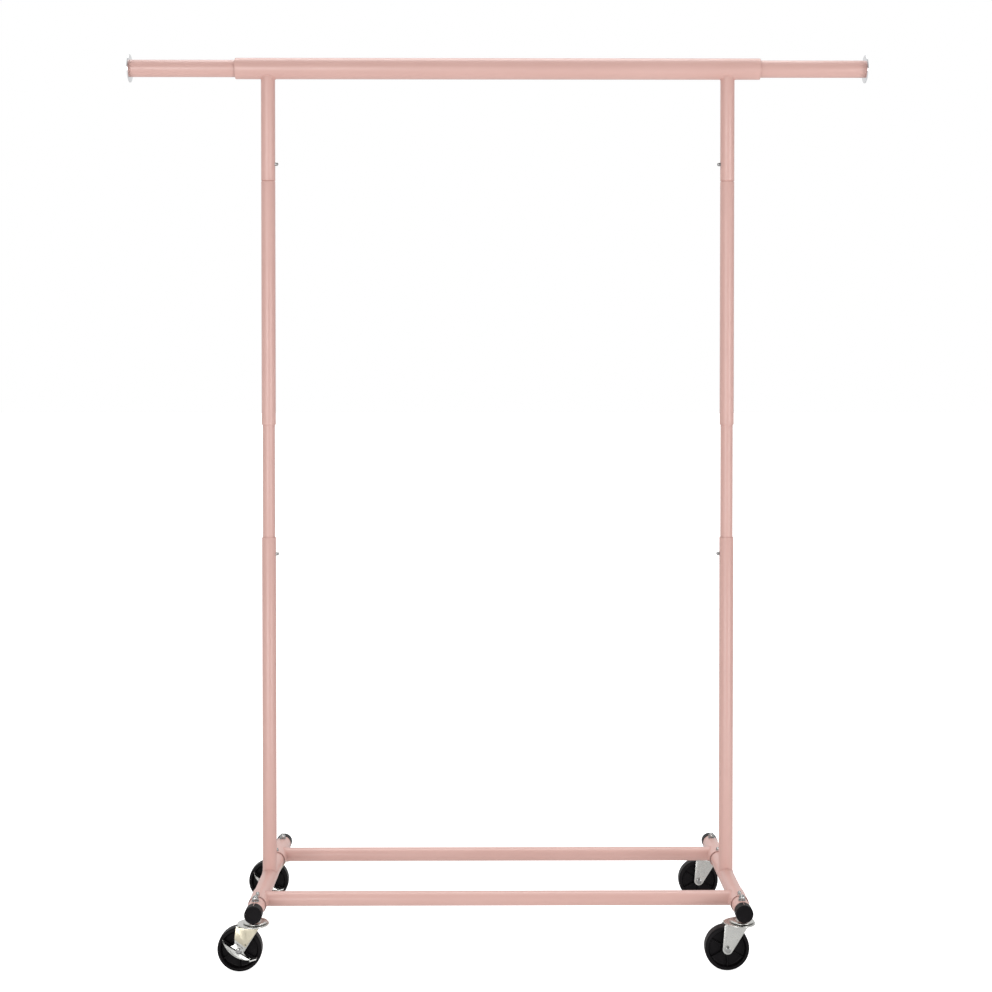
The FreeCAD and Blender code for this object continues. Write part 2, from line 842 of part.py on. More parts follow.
def wheel(name, across, along):
    """A moulded wheel: tread, thin web, ribs and hub."""
    body = new_body(f"{name}_wheel")
    profile = new_sketch(body, "YZ")
    tread, hub = "wheel_outer / 2", "hub_outer / 2"
    inside = f"({tread} - wheel_rim)"
    right = [
        ("hub_width / 2", "sleeve_outer / 2 + running_fit"),
        ("hub_width / 2", hub),
        ("web_thickness / 2", f"{hub} + web_taper"),
        ("web_thickness / 2", f"{inside} - web_taper"),
        ("wheel_width / 2", inside),
        ("wheel_width / 2", f"{tread} - wheel_shoulder"),
        ("wheel_width / 2 - wheel_shoulder", tread),
    ]
    left = [(f"-({across_half})", up) for across_half, up in reversed(right)]
    polygon(profile, right + left)
    turn(profile, "H_Axis")
    rib = new_sketch(body, "XZ")
    half = "rib_thickness / 2"
    low, high = f"{hub} - web_taper", f"{inside} + web_taper"
    polygon(rib, [(f"-{half}", low), (half, low), (half, high), (f"-{half}", high)])
    around(body, pad(rib, "rib_depth", both_ways=True), "Y", "rib_count")
    keep(at_corner(body, across, along, "wheel_trail", "axle_height"))


def axle_sleeve(name, across, along):
    wall = "((sleeve_outer - axle_outer) / 2 - running_fit)"
    body, _ = tube(f"{name}_axle_sleeve", "XZ", "sleeve_outer", wall, "fork_inside", both_ways=True)
    keep(at_corner(body, across, along, "wheel_trail", "axle_height"))


def axle(name, across, along, braked):
    """A bolt through the fork with its head in front and a nut behind. Under a brake its head is a low rivet."""
    body = new_body(f"{name}_axle_bolt")
    head_face = "lever_outer_face + layer_gap" if braked else "fork_outside / 2"
    shank = new_sketch(body, "XZ", head_face)
    circle(shank, "axle_outer")
    length = f"{head_face} + fork_outside / 2 + axle_nut_height + axle_tip"
    pad(shank, length, reverse=True)
    head = new_sketch(body, "XZ", head_face)
    if braked:
        circle(head, "axle_rivet_outer")
        face = pad(head, "axle_rivet")
        rim = f"-({head_face} + axle_rivet)"
        round_edges(
            body, face, "axle_rivet / 2", lambda edge: is_circle(edge, "axle_rivet_outer", "y", rim)
        )
    else:
        hexagon(head, "axle_head_flats")
        pad(head, "axle_head")
    nut = new_body(f"{name}_axle_nut")
    outline = new_sketch(nut, "XZ", "-fork_outside / 2 - axle_nut_height")
    hexagon(outline, "axle_head_flats")
    circle(outline, "axle_outer + 2 * sleeve_fit")
    pad(outline, "axle_nut_height")
    placed = [at_corner(item, across, along, "wheel_trail", "axle_height") for item in (body, nut)]
    keep_group(f"{name}_axle", placed)


def brake_lever(name, across, along):
    """A see-saw on the axle: a leaf with two hollows in its upper edge, and a foot tab at its front end."""
    body = new_body(f"{name}_brake_lever")
    leaf = new_sketch(body, "XZ", "lever_inner_face")
    heel = ("-lever_heel_back", "lever_heel_up")
    toe = ("lever_toe_front", "-lever_toe_down")
    lower = arc_between(leaf, heel, toe, "lever_lower_radius")
    upper = arc_between(leaf, toe, heel, "lever_upper_radius")
    pin_point(leaf, lower, 1, *heel)
    pin_point(leaf, lower, 2, *toe)
    leaf.addConstraint(Sketcher.Constraint("Coincident", lower, 2, upper, 1))
    leaf.addConstraint(Sketcher.Constraint("Coincident", upper, 2, lower, 1))
    circle(leaf, "axle_outer + 2 * layer_gap")
    pad(leaf, "lever_thickness")
    hollows = new_sketch(body, "XZ", "lever_inner_face")
    circle(hollows, "lever_thumb_outer", "-lever_thumb_back", "lever_thumb_up")
    circle(hollows, "lever_waist_outer", "lever_waist_front", "lever_waist_up")
    cut_through(hollows)
    tab = new_sketch(body, "XZ", "lever_inner_face")
    start, end = "lever_toe_front - tab_thickness", "lever_toe_front - tab_thickness + tab_length"
    low = "-lever_toe_down"
    polygon(
        tab,
        [
            (start, low),
            (end, f"{low} + tab_rise"),
            (end, f"{low} + tab_rise + tab_thickness"),
            (start, f"{low} + tab_thickness"),
        ],
    )
    pad(tab, "tab_depth")
    keep(at_corner(body, across, along, "wheel_trail", "axle_height"))


def brake_plate(name, across, along):
    """The spring plate over the lever, folded back onto the fork's leg along its top."""
    body = new_body(f"{name}_brake_plate")
    face = new_sketch(body, "XZ", "plate_inner_face")
    top = "(crown_bottom - axle_height - layer_gap)"
    slope = "(plate_head_front - plate_tip_front) / (crown_bottom - axle_height - plate_tip_up)"
    fold_front = f"plate_head_front - plate_fold * {slope}"
    polygon(
        face,
        [
            ("-plate_back", "plate_corner_up"),
            ("plate_tip_front", "plate_tip_up"),
            ("plate_head_front", top),
            ("-fork_head_back", top),
        ],
    )
    pad(face, "plate_thickness")
    fold = new_sketch(body, "XZ", "fork_outside / 2")
    polygon(
        fold,
        [
            ("-fork_head_back", f"{top} - plate_fold"),
            (fold_front, f"{top} - plate_fold"),
            ("plate_head_front - layer_gap", top),
            ("-fork_head_back", top),
        ],
    )
    pad(fold, "plate_outer_face - fork_outside / 2")
    keep(at_corner(body, across, along, "wheel_trail", "axle_height"))


def casters():
    stems, washers, nuts, balls = [], [], [], []
    for name, (across, along) in CORNERS.items():
        caster = f"{name}_caster"
        braked = across < 0
        stems.append(at_corner(caster_stem(f"{caster}_stem"), across, along))
        balls.append(at_corner(ball_ring(f"{caster}_balls"), across, along))
        washers.append(at_corner(stem_washer(f"{caster}_washer"), across, along, up="rail_top"))
        nuts.append(at_corner(stem_nut(f"{caster}_nut"), across, along, up="washer_top"))
        fork(caster, across, along)
        wheel(caster, across, along)
        axle_sleeve(caster, across, along)
        axle(caster, across, along, braked)
        if braked:
            brake_lever(caster, across, along)
            brake_plate(caster, across, along)
    keep_group("caster_stems", stems)
    keep_group("caster_ball_bearings", balls)
    keep_group("caster_stem_washers", washers)
    keep_group("caster_stem_nuts", nuts)


# checks and files


def cuts_that_miss():
    """Pockets and grooves that take nothing away."""
    missed = []
    for item in doc.Objects:
        if item.TypeId in ("PartDesign::Pocket", "PartDesign::Groove"):
            if item.Shape.Volume > item.BaseFeature.Shape.Volume - 1e-3:
                missed.append(item.Name)
    return missed


def check_document():
    failed = [item.Name for item in doc.Objects if {"Invalid", "Error"} & set(item.State)]
    broken = [item.Label for item in nodes if item.Shape.isNull() or not item.Shape.isValid()]
    empty = [item.Label for item in nodes if not item.Shape.Solids]
    if failed or broken or empty or cuts_that_miss():
        raise RuntimeError(f"failed {failed}, broken {broken}, empty {empty}, missed {cuts_that_miss()}")


def write_parts():
    os.makedirs("parts", exist_ok=True)
    for item in nodes:
        item.Shape.exportStep(f"parts/{item.Label}.step")


fill_sheet()
base()
base_buttons()
posts()
bar_assembly()
casters()
doc.recompute()
check_document()
write_parts()
print(len(nodes), "nodes written")
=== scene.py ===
"""The looks of a rolling clothes rack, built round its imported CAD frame. Metres, +Z up, -Y is the front."""

from __future__ import annotations

import json
import logging
import math
from abc import ABC, abstractmethod
from dataclasses import dataclass, field
from enum import Enum
from typing import Any, Callable, Sequence

import bmesh
import bpy
from mathutils import Matrix, Vector

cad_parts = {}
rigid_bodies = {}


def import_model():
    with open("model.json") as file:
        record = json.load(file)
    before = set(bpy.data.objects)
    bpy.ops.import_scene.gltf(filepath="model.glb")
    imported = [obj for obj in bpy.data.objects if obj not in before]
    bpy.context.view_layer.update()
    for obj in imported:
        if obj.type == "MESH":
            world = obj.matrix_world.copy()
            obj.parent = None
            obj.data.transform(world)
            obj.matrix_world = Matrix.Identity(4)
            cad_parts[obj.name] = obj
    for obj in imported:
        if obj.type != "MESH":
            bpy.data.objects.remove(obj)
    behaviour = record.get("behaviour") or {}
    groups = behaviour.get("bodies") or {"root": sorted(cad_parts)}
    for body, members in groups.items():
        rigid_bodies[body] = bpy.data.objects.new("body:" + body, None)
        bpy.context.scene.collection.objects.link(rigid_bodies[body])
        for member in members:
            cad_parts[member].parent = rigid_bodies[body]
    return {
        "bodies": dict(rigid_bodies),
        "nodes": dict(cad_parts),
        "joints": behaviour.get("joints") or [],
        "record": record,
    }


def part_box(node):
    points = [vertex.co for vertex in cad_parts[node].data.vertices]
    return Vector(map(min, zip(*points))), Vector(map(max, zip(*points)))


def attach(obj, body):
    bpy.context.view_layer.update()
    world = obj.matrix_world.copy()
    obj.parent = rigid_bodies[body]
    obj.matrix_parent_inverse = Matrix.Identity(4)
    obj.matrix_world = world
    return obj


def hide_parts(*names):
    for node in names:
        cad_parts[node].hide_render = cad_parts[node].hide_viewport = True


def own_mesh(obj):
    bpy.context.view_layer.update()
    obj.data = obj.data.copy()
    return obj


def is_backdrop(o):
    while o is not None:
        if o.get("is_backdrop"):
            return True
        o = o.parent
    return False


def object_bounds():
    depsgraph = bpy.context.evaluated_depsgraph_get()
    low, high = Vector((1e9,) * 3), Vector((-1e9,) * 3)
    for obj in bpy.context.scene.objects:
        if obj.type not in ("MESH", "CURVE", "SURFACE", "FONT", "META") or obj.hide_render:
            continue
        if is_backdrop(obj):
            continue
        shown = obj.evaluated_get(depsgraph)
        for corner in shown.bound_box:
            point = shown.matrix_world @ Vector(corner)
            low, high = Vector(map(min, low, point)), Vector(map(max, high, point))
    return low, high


LOG = logging.getLogger("clothes_rack")
MM = 0.001
TAU = math.tau

TURN_STEPS = 96
NEAR_AXIS = 1e-9
LONGEST_ROUNDING = 0.48
TUBE_LIP = 0.35 * MM
DRILL_DEPTH = 20.0 * MM
WELD_STAND_OFF = 0.2 * MM
WELD_POINTS = 90
WHITE = (1.0, 1.0, 1.0, 1.0)

Point2 = tuple[float, float]
Colour = tuple[float, float, float]
EndHeight = Callable[[float, float], float]
Socket = str | int
Hole = tuple[Matrix, float, float]


class Axis(Enum):
    """A world direction that a turned piece's own +Z can be laid along."""

    RIGHT = (1.0, 0.0, 0.0)
    LEFT = (-1.0, 0.0, 0.0)
    BACK = (0.0, 1.0, 0.0)
    FRONT = (0.0, -1.0, 0.0)
    UP = (0.0, 0.0, 1.0)

    def at(self, origin: Sequence[float]) -> Matrix:
        """The place whose +Z is this direction.

        Args:
            origin: where the place's zero is, in metres.

        Returns:
            A matrix from the piece's own coordinates to the world's.
        """
        turn = Vector((0.0, 0.0, 1.0)).rotation_difference(Vector(self.value))
        return Matrix.Translation(Vector(origin)) @ turn.to_matrix().to_4x4()


class Spelled(Enum):
    """A choice whose name is part of the names of CAD nodes."""

    @property
    def word(self) -> str:
        """The choice's name as CAD nodes spell it."""
        return self.name.lower()


class Side(Spelled):
    """The rack's two sides, as seen from the front."""

    LEFT = -1
    RIGHT = 1

    @property
    def outward(self) -> Axis:
        """The direction away from the rack's middle."""
        return Axis.RIGHT if self is Side.RIGHT else Axis.LEFT

    @property
    def inward(self) -> Axis:
        """The direction towards the rack's middle."""
        return Axis.LEFT if self is Side.RIGHT else Axis.RIGHT


class Row(Spelled):
    """The front and rear rows of casters and base bars."""

    FRONT = -1
    REAR = 1

    @property
    def outward(self) -> Axis:
        """The direction from the rack's middle to this row."""
        return Axis.FRONT if self is Row.FRONT else Axis.BACK


# ---------------------------------------------------------------- shapes


@dataclass
class Shell:
    """A closed surface as points and faces, which can be moved and joined to others."""

    points: list[Vector] = field(default_factory=list)
    faces: list[tuple[int, ...]] = field(default_factory=list)

    def moved(self, place: Matrix) -> Shell:
        """A copy of this shell, laid at place."""
        return Shell([place @ p for p in self.points], list(self.faces))

    def __add__(self, other: Shell) -> Shell:
        """Both shells as one, with their points kept apart.

        Args:
            other: the shell that is added.

        Returns:
            The joined shell.
        """
        start = len(self.points)
        shifted = [tuple(i + start for i in f) for f in other.faces]
        return Shell(self.points + other.points, self.faces + shifted)


def softened(
    outline: Sequence[Point2], radius: float, steps: int = 4, least_turn: float = 25.0
) -> list[Point2]:
    """Rounds the corners of a closed outline.

    Args:
        outline: the corners, in order round the outline.
        radius: how far along each side a rounding may start, in metres.
        steps: how many short sides each rounding gets.
        least_turn: corners that turn by fewer degrees stay as they are.

    Returns:
        The outline with its corners rounded. Points on the turning axis stay.
    """
    made: list[Point2] = []
    count = len(outline)
    for n, (x, y) in enumerate(outline):
        here = Vector((x, y))
        back = Vector(outline[n - 1]) - here
        on = Vector(outline[(n + 1) % count]) - here
        turn = 180.0 - math.degrees(back.angle(on, math.pi))
        if abs(x) < NEAR_AXIS or turn < least_turn:
            made.append((x, y))
            continue
        start = here + back.normalized() * min(radius, back.length * LONGEST_ROUNDING)
        end = here + on.normalized() * min(radius, on.length * LONGEST_ROUNDING)
        for k in range(steps + 1):
            t = k / steps
            p = start * (1 - t) ** 2 + here * (2 * t * (1 - t)) + end * t**2
            made.append((p.x, p.y))
    return made


def turned(outline: Sequence[Point2], segments: int = TURN_STEPS) -> Shell:
    """Turns a closed outline of (radius, height) about +Z.

    Args:
        outline: the section's corners. Two neighbours at radius zero close the ends with poles.
        segments: how many steps go round.

    Returns:
        The turned shell.
    """
    shell = Shell()
    rows: list[list[int]] = []
    for radius, height in outline:
        start = len(shell.points)
        around = 1 if radius < NEAR_AXIS else segments
        for k in range(around):
            angle = TAU * k / segments
            shell.points.append(Vector((radius * math.cos(angle), radius * math.sin(angle), height)))
        rows.append([start] * segments if around == 1 else list(range(start, start + segments)))
    for n, low in enumerate(rows):
        high = rows[(n + 1) % len(rows)]
        if low[0] == low[1] and high[0] == high[1]:
            continue
        for k in range(segments):
            j = (k + 1) % segments
            corners = (low[k], low[j], high[j], high[k])
            shell.faces.append(tuple(dict.fromkeys(corners)))
    return shell


def tube_outline(
    outer: float, wall: float, low: float, high: float, lip: float = TUBE_LIP
) -> list[Point2]:
    """The section of a straight tube with rounded lips.

    Args:
        outer: outer radius.
        wall: wall thickness.
        low: height of the lower end.
        high: height of the upper end.
        lip: rounding of the cut ends.

    Returns:
        A closed outline of (radius, height).
    """
    corners = [(outer - wall, low), (outer, low), (outer, high), (outer - wall, high)]
    return softened(corners, lip)


def saddle(radius: float, height: float, across: int, sign: float = 1.0) -> EndHeight:
    """The end of a tube that is coped to sit on another tube across it.

    Args:
        radius: the other tube's radius.
        height: the other tube's axis, along this tube's own +Z.
        across: 0 or 1, which of x and y is square to the other tube's axis.
        sign: 1 where the seat is above the other tube's axis, -1 where it is below.

    Returns:
        A function from (x, y) to the height of the cut.
    """

    def cut(x: float, y: float) -> float:
        """The height of the seat at one point of the tube's wall."""
        offset = (x, y)[across]
        return height + sign * math.sqrt(max(radius**2 - offset**2, 0.0))

    return cut


def level(height: float) -> EndHeight:
    """A square cut at one height."""
    return lambda x, y: height


def coped_tube(
    outer: float, wall: float, near: EndHeight, far: EndHeight, lips: tuple[bool, bool]
) -> Shell:
    """A tube whose ends are cut to follow what they meet.

    Args:
        outer: outer radius.
        wall: wall thickness.
        near: the lower end's height at each point.
        far: the upper end's height at each point.
        lips: whether the lower and the upper end have rounded lips.

    Returns:
        The tube's shell, with its axis on +Z.
    """
    segments, lip = TURN_STEPS, TUBE_LIP
    rounded = ((lip, 0.0), (0.3 * lip, 0.3 * lip), (0.0, lip))
    square = ((0.0, 0.0),)
    start, finish = (rounded if lip_wanted else square for lip_wanted in lips)
    rings = [(outer - inset, near, rise) for inset, rise in start]
    rings += [(outer - inset, far, -rise) for inset, rise in reversed(finish)]
    rings += [(outer - wall, far, 0.0), (outer - wall, near, 0.0)]
    shell = Shell()
    for radius, end, offset in rings:
        for k in range(segments):
            angle = TAU * k / segments
            x, y = radius * math.cos(angle), radius * math.sin(angle)
            shell.points.append(Vector((x, y, end(x, y) + offset)))
    for n in range(len(rings)):
        low, high = n * segments, (n + 1) % len(rings) * segments
        for k in range(segments):
            j = (k + 1) % segments
            shell.faces.append((low + k, low + j, high + j, high + k))
    return shell


def slab(outline: Sequence[Point2], low: float, high: float) -> Shell:
    """A flat plate: an outline in x and y, from one height to another.

    Args:
        outline: the plate's corners, anticlockwise.
        low: height of its underside.
        high: height of its top.

    Returns:
        The plate's shell.
    """
    count = len(outline)
    points = [Vector((x, y, z)) for z in (low, high) for x, y in outline]
    sides = [(n, (n + 1) % count, count + (n + 1) % count, count + n) for n in range(count)]
    return Shell(points, [tuple(reversed(range(count))), tuple(range(count, 2 * count)), *sides])


def arc(centre: Point2, radius: float, start: float, end: float, steps: int) -> list[Point2]:
    """Points along an arc, with its angles in degrees."""
    angles = [math.radians(start + (end - start) * k / steps) for k in range(steps + 1)]
    return [(centre[0] + radius * math.cos(a), centre[1] + radius * math.sin(a)) for a in angles]


def hexagon(flats: float, turn: float = 0.0) -> list[Point2]:
    """A regular hexagon's corners, from its size across flats and its turn in degrees."""
    return arc((0.0, 0.0), flats / 2 / math.cos(math.pi / 6), turn, turn + 300, 5)


# ---------------------------------------------------------------- objects


def new_object(name: str, shell: Shell) -> bpy.types.Object:
    """Makes an object at the origin from a shell, with its faces turned outwards.

    Args:
        name: the object's name.
        shell: the surface, in world coordinates.

    Returns:
        The object, linked to the scene.
    """
    mesh = bpy.data.meshes.new(name)
    mesh.from_pydata([tuple(p) for p in shell.points], [], shell.faces)
    work = bmesh.new()
    work.from_mesh(mesh)
    bmesh.ops.recalc_face_normals(work, faces=work.faces)
    work.to_mesh(mesh)
    work.free()
    thing = bpy.data.objects.new(name, mesh)
    bpy.context.scene.collection.objects.link(thing)
    return thing


def applied(thing: bpy.types.Object) -> bpy.types.Object:
    """Replaces an object's mesh with what its modifiers make of it, and removes them.

    Args:
        thing: the object.

    Returns:
        The same object.
    """
    graph = bpy.context.evaluated_depsgraph_get()
    mesh = bpy.data.meshes.new_from_object(thing.evaluated_get(graph))
    thing.modifiers.clear()
    thing.data = mesh
    return thing


def drilled(
    thing: bpy.types.Object, holes: Sequence[Hole], segments: int = 32
) -> bpy.types.Object:
    """Cuts round holes.

    Args:
        thing: the object to cut.
        holes: for each hole its start with +Z along it, its radius and its depth.
        segments: how many steps go round each hole.

    Returns:
        The same object, with the holes in its mesh.
    """
    cutter = Shell()
    for place, radius, depth in holes:
        outline = [(0.0, 0.0), (radius, 0.0), (radius, depth), (0.0, depth)]
        cutter = cutter + turned(outline, segments).moved(place)
    return carved(thing, new_object(thing.name + "_drill", cutter))


def carved(thing: bpy.types.Object, tool: bpy.types.Object) -> bpy.types.Object:
    """Takes one object's shape away from another.

    Args:
        thing: the object that is cut.
        tool: the object whose shape is taken away, which is gone afterwards.

    Returns:
        The cut object.
    """
    cut = thing.modifiers.new("cut", "BOOLEAN")
    cut.operation = "DIFFERENCE"
    cut.solver = "EXACT"
    cut.object = tool
    applied(thing)
    bpy.data.objects.remove(tool)
    return thing


def merged(parts: Sequence[bpy.types.Object]) -> bpy.types.Object:
    """Unites closed objects.

    Args:
        parts: the objects, of which only the first is left.

    Returns:
        The first object, as a single skin.
    """
    first, *others = parts
    for other in others:
        union = first.modifiers.new("union", "BOOLEAN")
        union.operation = "UNION"
        union.solver = "EXACT"
        union.object = other
        applied(first)
        bpy.data.objects.remove(other)
    return first


def bevelled(thing: bpy.types.Object, width: float, angle: float = 35.0) -> bpy.types.Object:
    """Rounds an object's sharp edges.

    Args:
        thing: the object.
        width: the rounding's width, in metres.
        angle: edges that turn by fewer degrees stay as they are.

    Returns:
        The same object.
    """
    bevel = thing.modifiers.new("edges", "BEVEL")
    bevel.width = width
    bevel.segments = 2
    bevel.limit_method = "ANGLE"
    bevel.angle_limit = math.radians(angle)
    return applied(thing)


# ---------------------------------------------------------------- finishes


class NodeTools:
    """A node tree, with short ways to add nodes to it and to join them."""

    def __init__(self, tree: bpy.types.NodeTree) -> None:
        """Keeps the tree that the nodes go into."""
        self.tree = tree

    def add(
        self, kind: str, values: dict[Socket, Any] | None = None, **settings: Any
    ) -> bpy.types.Node:
        """Adds a node, sets its properties and fills in its inputs.

        Args:
            kind: the node's type.
            values: a value for each input that isn't left at its default.
            settings: a value for each property, such as operation.

        Returns:
            The new node.
        """
        node = self.tree.nodes.new(kind)
        for name, value in settings.items():
            setattr(node, name, value)
        for socket, value in (values or {}).items():
            node.inputs[socket].default_value = value
        return node

    def join(
        self, source: bpy.types.Node, out: Socket, target: bpy.types.Node, into: Socket
    ) -> None:
        """Links one node's output to another's input."""
        self.tree.links.new(source.outputs[out], target.inputs[into])


class NodeSheet(NodeTools):
    """A material's nodes, round one principled shader."""

    def __init__(self, name: str) -> None:
        """Starts a material that has only its output and the shader.

        Args:
            name: the material's name.
        """
        self.material = bpy.data.materials.new(name)
        self.material.use_nodes = True
        super().__init__(self.material.node_tree)
        self.tree.nodes.clear()
        self.shader = self.add("ShaderNodeBsdfPrincipled")
        output = self.add("ShaderNodeOutputMaterial")
        self.join(self.shader, "BSDF", output, "Surface")
        self.coordinates = self.add("ShaderNodeTexCoord")

    def preset(self, values: dict[str, Any]) -> None:
        """Fills in inputs of the shader."""
        for name, value in values.items():
            self.shader.inputs[name].default_value = value

    def noise(
        self, scale: float, detail: float = 2.0, stretch: Sequence[float] | None = None
    ) -> bpy.types.Node:
        """A noise on the object's own coordinates.

        Args:
            scale: cells to the metre.
            detail: octaves of finer noise.
            stretch: how much to squeeze each axis, for brushed and drawn finishes.

        Returns:
            The noise node.
        """
        noise = self.add("ShaderNodeTexNoise", {"Scale": scale, "Detail": detail})
        if stretch is None:
            self.join(self.coordinates, "Object", noise, "Vector")
            return noise
        mapping = self.add("ShaderNodeMapping", {"Scale": stretch})
        self.join(self.coordinates, "Object", mapping, "Vector")
        self.join(mapping, "Vector", noise, "Vector")
        return noise

    def spread(self, source: bpy.types.Node, low: float, high: float) -> bpy.types.Node:
        """Maps a noise's middle range to low..high.

        Args:
            source: the noise node.
            low: what the range starts at.
            high: what the range ends at.

        Returns:
            A node whose output Result is the mapped noise.
        """
        ends = {"From Min": 0.3, "From Max": 0.7, "To Min": low, "To Max": high}
        ranged = self.add("ShaderNodeMapRange", ends)
        self.join(source, "Fac", ranged, "Value")
        return ranged

    def vary_roughness(self, scale: float, low: float, high: float) -> None:
        """Gives the shader a roughness that wanders between two values."""
        ranged = self.spread(self.noise(scale, 3.0), low, high)
        self.join(ranged, "Result", self.shader, "Roughness")

    def vary_colour(self, scale: float, detail: float, one: Colour, two: Colour) -> None:
        """Gives the shader a colour that drifts between two others.

        Args:
            scale: the drift's cells to the metre.
            detail: octaves of finer drift.
            one: the first colour, linear.
            two: the second colour, linear.
        """
        drift = self.spread(self.noise(scale, detail), 0.0, 1.0)
        mix = self.add("ShaderNodeMix", {6: (*one, 1.0), 7: (*two, 1.0)}, data_type="RGBA")
        self.join(drift, "Result", mix, 0)
        self.join(mix, 2, self.shader, "Base Color")

    def bump(self, layers: Sequence[tuple[bpy.types.Node, Socket, float]]) -> None:
        """Stacks bumps on the shader's normal.

        Args:
            layers: for each bump its texture, that texture's output, and its height in metres.
        """
        before: bpy.types.Node | None = None
        for texture, out, height in layers:
            bump = self.add("ShaderNodeBump", {"Distance": height, "Strength": 1.0})
            self.join(texture, out, bump, "Height")
            if before is not None:
                self.join(before, "Normal", bump, "Normal")
            before = bump
        if before is not None:
            self.join(before, "Normal", self.shader, "Normal")


class Finish(ABC):
    """A surface finish that can be made into a material once and then shared."""

    name: str

    @abstractmethod
    def build(self, sheet: NodeSheet) -> None:
        """Fills in the shader's nodes."""

    def material(self) -> bpy.types.Material:
        """Makes the material the first time it is asked for, and shares it.

        Returns:
            The finish's material.
        """
        known = bpy.data.materials.get(self.name)
        if known is not None:
            return known
        sheet = NodeSheet(self.name)
        self.build(sheet)
        return sheet.material


@dataclass(frozen=True)
class PowderCoat(Finish):
    """Baked satin paint with a faint orange peel."""

    name: str
    colour: Colour
    shade: Colour
    roughness: tuple[float, float] = (0.30, 0.40)
    peel: float = 0.002 * MM

    def build(self, sheet: NodeSheet) -> None:
        """Soft drifts of tone, wandering gloss, and two sizes of peel.

        Args:
            sheet: the material's nodes.
        """
        sheet.vary_colour(6.0, 3.0, self.colour, self.shade)
        sheet.vary_roughness(90.0, *self.roughness)
        sheet.preset({"Coat Weight": 0.08, "Coat Roughness": 0.16})
        broad, fine = sheet.noise(420.0, 1.0), sheet.noise(1600.0, 2.0)
        sheet.bump([(broad, "Fac", self.peel), (fine, "Fac", 0.4 * self.peel)])


@dataclass(frozen=True)
class PlatedMetal(Finish):
    """Plated or polished steel, from mirror chrome to dull zinc."""

    name: str
    colour: Colour
    tint: Colour
    roughness: tuple[float, float]
    spangle: float
    scratches: float

    def build(self, sheet: NodeSheet) -> None:
        """Cloudy plating over a lightly scratched base.

        Args:
            sheet: the material's nodes.
        """
        sheet.preset({"Metallic": 1.0})
        cells = sheet.add("ShaderNodeTexVoronoi", {"Scale": self.spangle})
        sheet.join(sheet.coordinates, "Object", cells, "Vector")
        sheet.vary_colour(self.spangle * 0.5, 4.0, self.colour, self.tint)
        sheet.vary_roughness(self.spangle, *self.roughness)
        lines = sheet.noise(900.0, 2.0, (1.0, 1.0, 0.04))
        sheet.bump([(lines, "Fac", self.scratches), (cells, "Distance", 0.5 * self.scratches)])


@dataclass(frozen=True)
class MouldedPlastic(Finish):
    """Injection-moulded plastic with a fine spark-eroded grain."""

    name: str
    colour: Colour
    dust: Colour
    roughness: tuple[float, float]
    grain: float
    shine: float = 0.5

    def build(self, sheet: NodeSheet) -> None:
        """Faint dusty drifts, flow-marked gloss and a fine grain.

        Args:
            sheet: the material's nodes.
        """
        sheet.vary_colour(35.0, 5.0, self.colour, self.dust)
        sheet.preset({"Specular IOR Level": self.shine})
        sheet.vary_roughness(140.0, *self.roughness)
        fine = sheet.noise(3200.0, 2.0)
        waves = sheet.noise(180.0, 2.0)
        sheet.bump([(waves, "Fac", 0.8 * self.grain), (fine, "Fac", self.grain)])


@dataclass(frozen=True)
class StudioFloor(Finish):
    """A matt white sweep, lit from below like a light table."""

    name: str = "studio_floor"
    colour: Colour = (0.66, 0.66, 0.66)
    shade: Colour = (0.70, 0.70, 0.70)
    glow: float = 0.10
    seen_glow: float = 0.92

    def build(self, sheet: NodeSheet) -> None:
        """Pale grey with hardly any texture, whose glow is brighter to the camera.

        Args:
            sheet: the material's nodes.
        """
        sheet.vary_colour(1.5, 2.0, self.colour, self.shade)
        sheet.preset({"Emission Color": WHITE, "Roughness": 0.9, "Specular IOR Level": 0.1})
        rays = sheet.add("ShaderNodeLightPath")
        factors = {1: self.seen_glow - self.glow, 2: self.glow}
        strength = sheet.add("ShaderNodeMath", factors, operation="MULTIPLY_ADD")
        sheet.join(rays, "Is Camera Ray", strength, 0)
        sheet.join(strength, 0, sheet.shader, "Emission Strength")


PINK = PowderCoat("pink_powder_coat", (0.690, 0.432, 0.385), (0.665, 0.408, 0.362))
CHROME = PlatedMetal(
    "chrome_plate", (0.83, 0.83, 0.84), (0.78, 0.79, 0.81), (0.05, 0.12), 60.0, 0.0004 * MM
)
ZINC = PlatedMetal(
    "bright_zinc", (0.66, 0.66, 0.63), (0.61, 0.61, 0.59), (0.24, 0.34), 260.0, 0.0025 * MM
)
YELLOW_ZINC = PlatedMetal(
    "yellow_zinc", (0.64, 0.59, 0.46), (0.59, 0.54, 0.42), (0.28, 0.40), 240.0, 0.0025 * MM
)
BUTTON_STEEL = PlatedMetal(
    "button_steel", (0.42, 0.42, 0.41), (0.34, 0.34, 0.34), (0.16, 0.28), 260.0, 0.003 * MM
)
SPRING_STEEL = PlatedMetal(
    "spring_steel", (0.36, 0.36, 0.38), (0.28, 0.28, 0.31), (0.28, 0.42), 300.0, 0.003 * MM
)
BLACK_CAP = MouldedPlastic(
    "black_cap_plastic", (0.004, 0.0032, 0.004), (0.008, 0.007, 0.008), (0.36, 0.48), 0.008 * MM, 0.10
)
WHEEL_BLACK = MouldedPlastic(
    "black_wheel_plastic", (0.0035, 0.0028, 0.0035), (0.007, 0.006, 0.007), (0.32, 0.46), 0.010 * MM, 0.11
)
NYLON = MouldedPlastic(
    "dark_nylon", (0.030, 0.030, 0.034), (0.045, 0.045, 0.050), (0.38, 0.50), 0.010 * MM
)


# ---------------------------------------------------------------- repeats, as geometry node trees


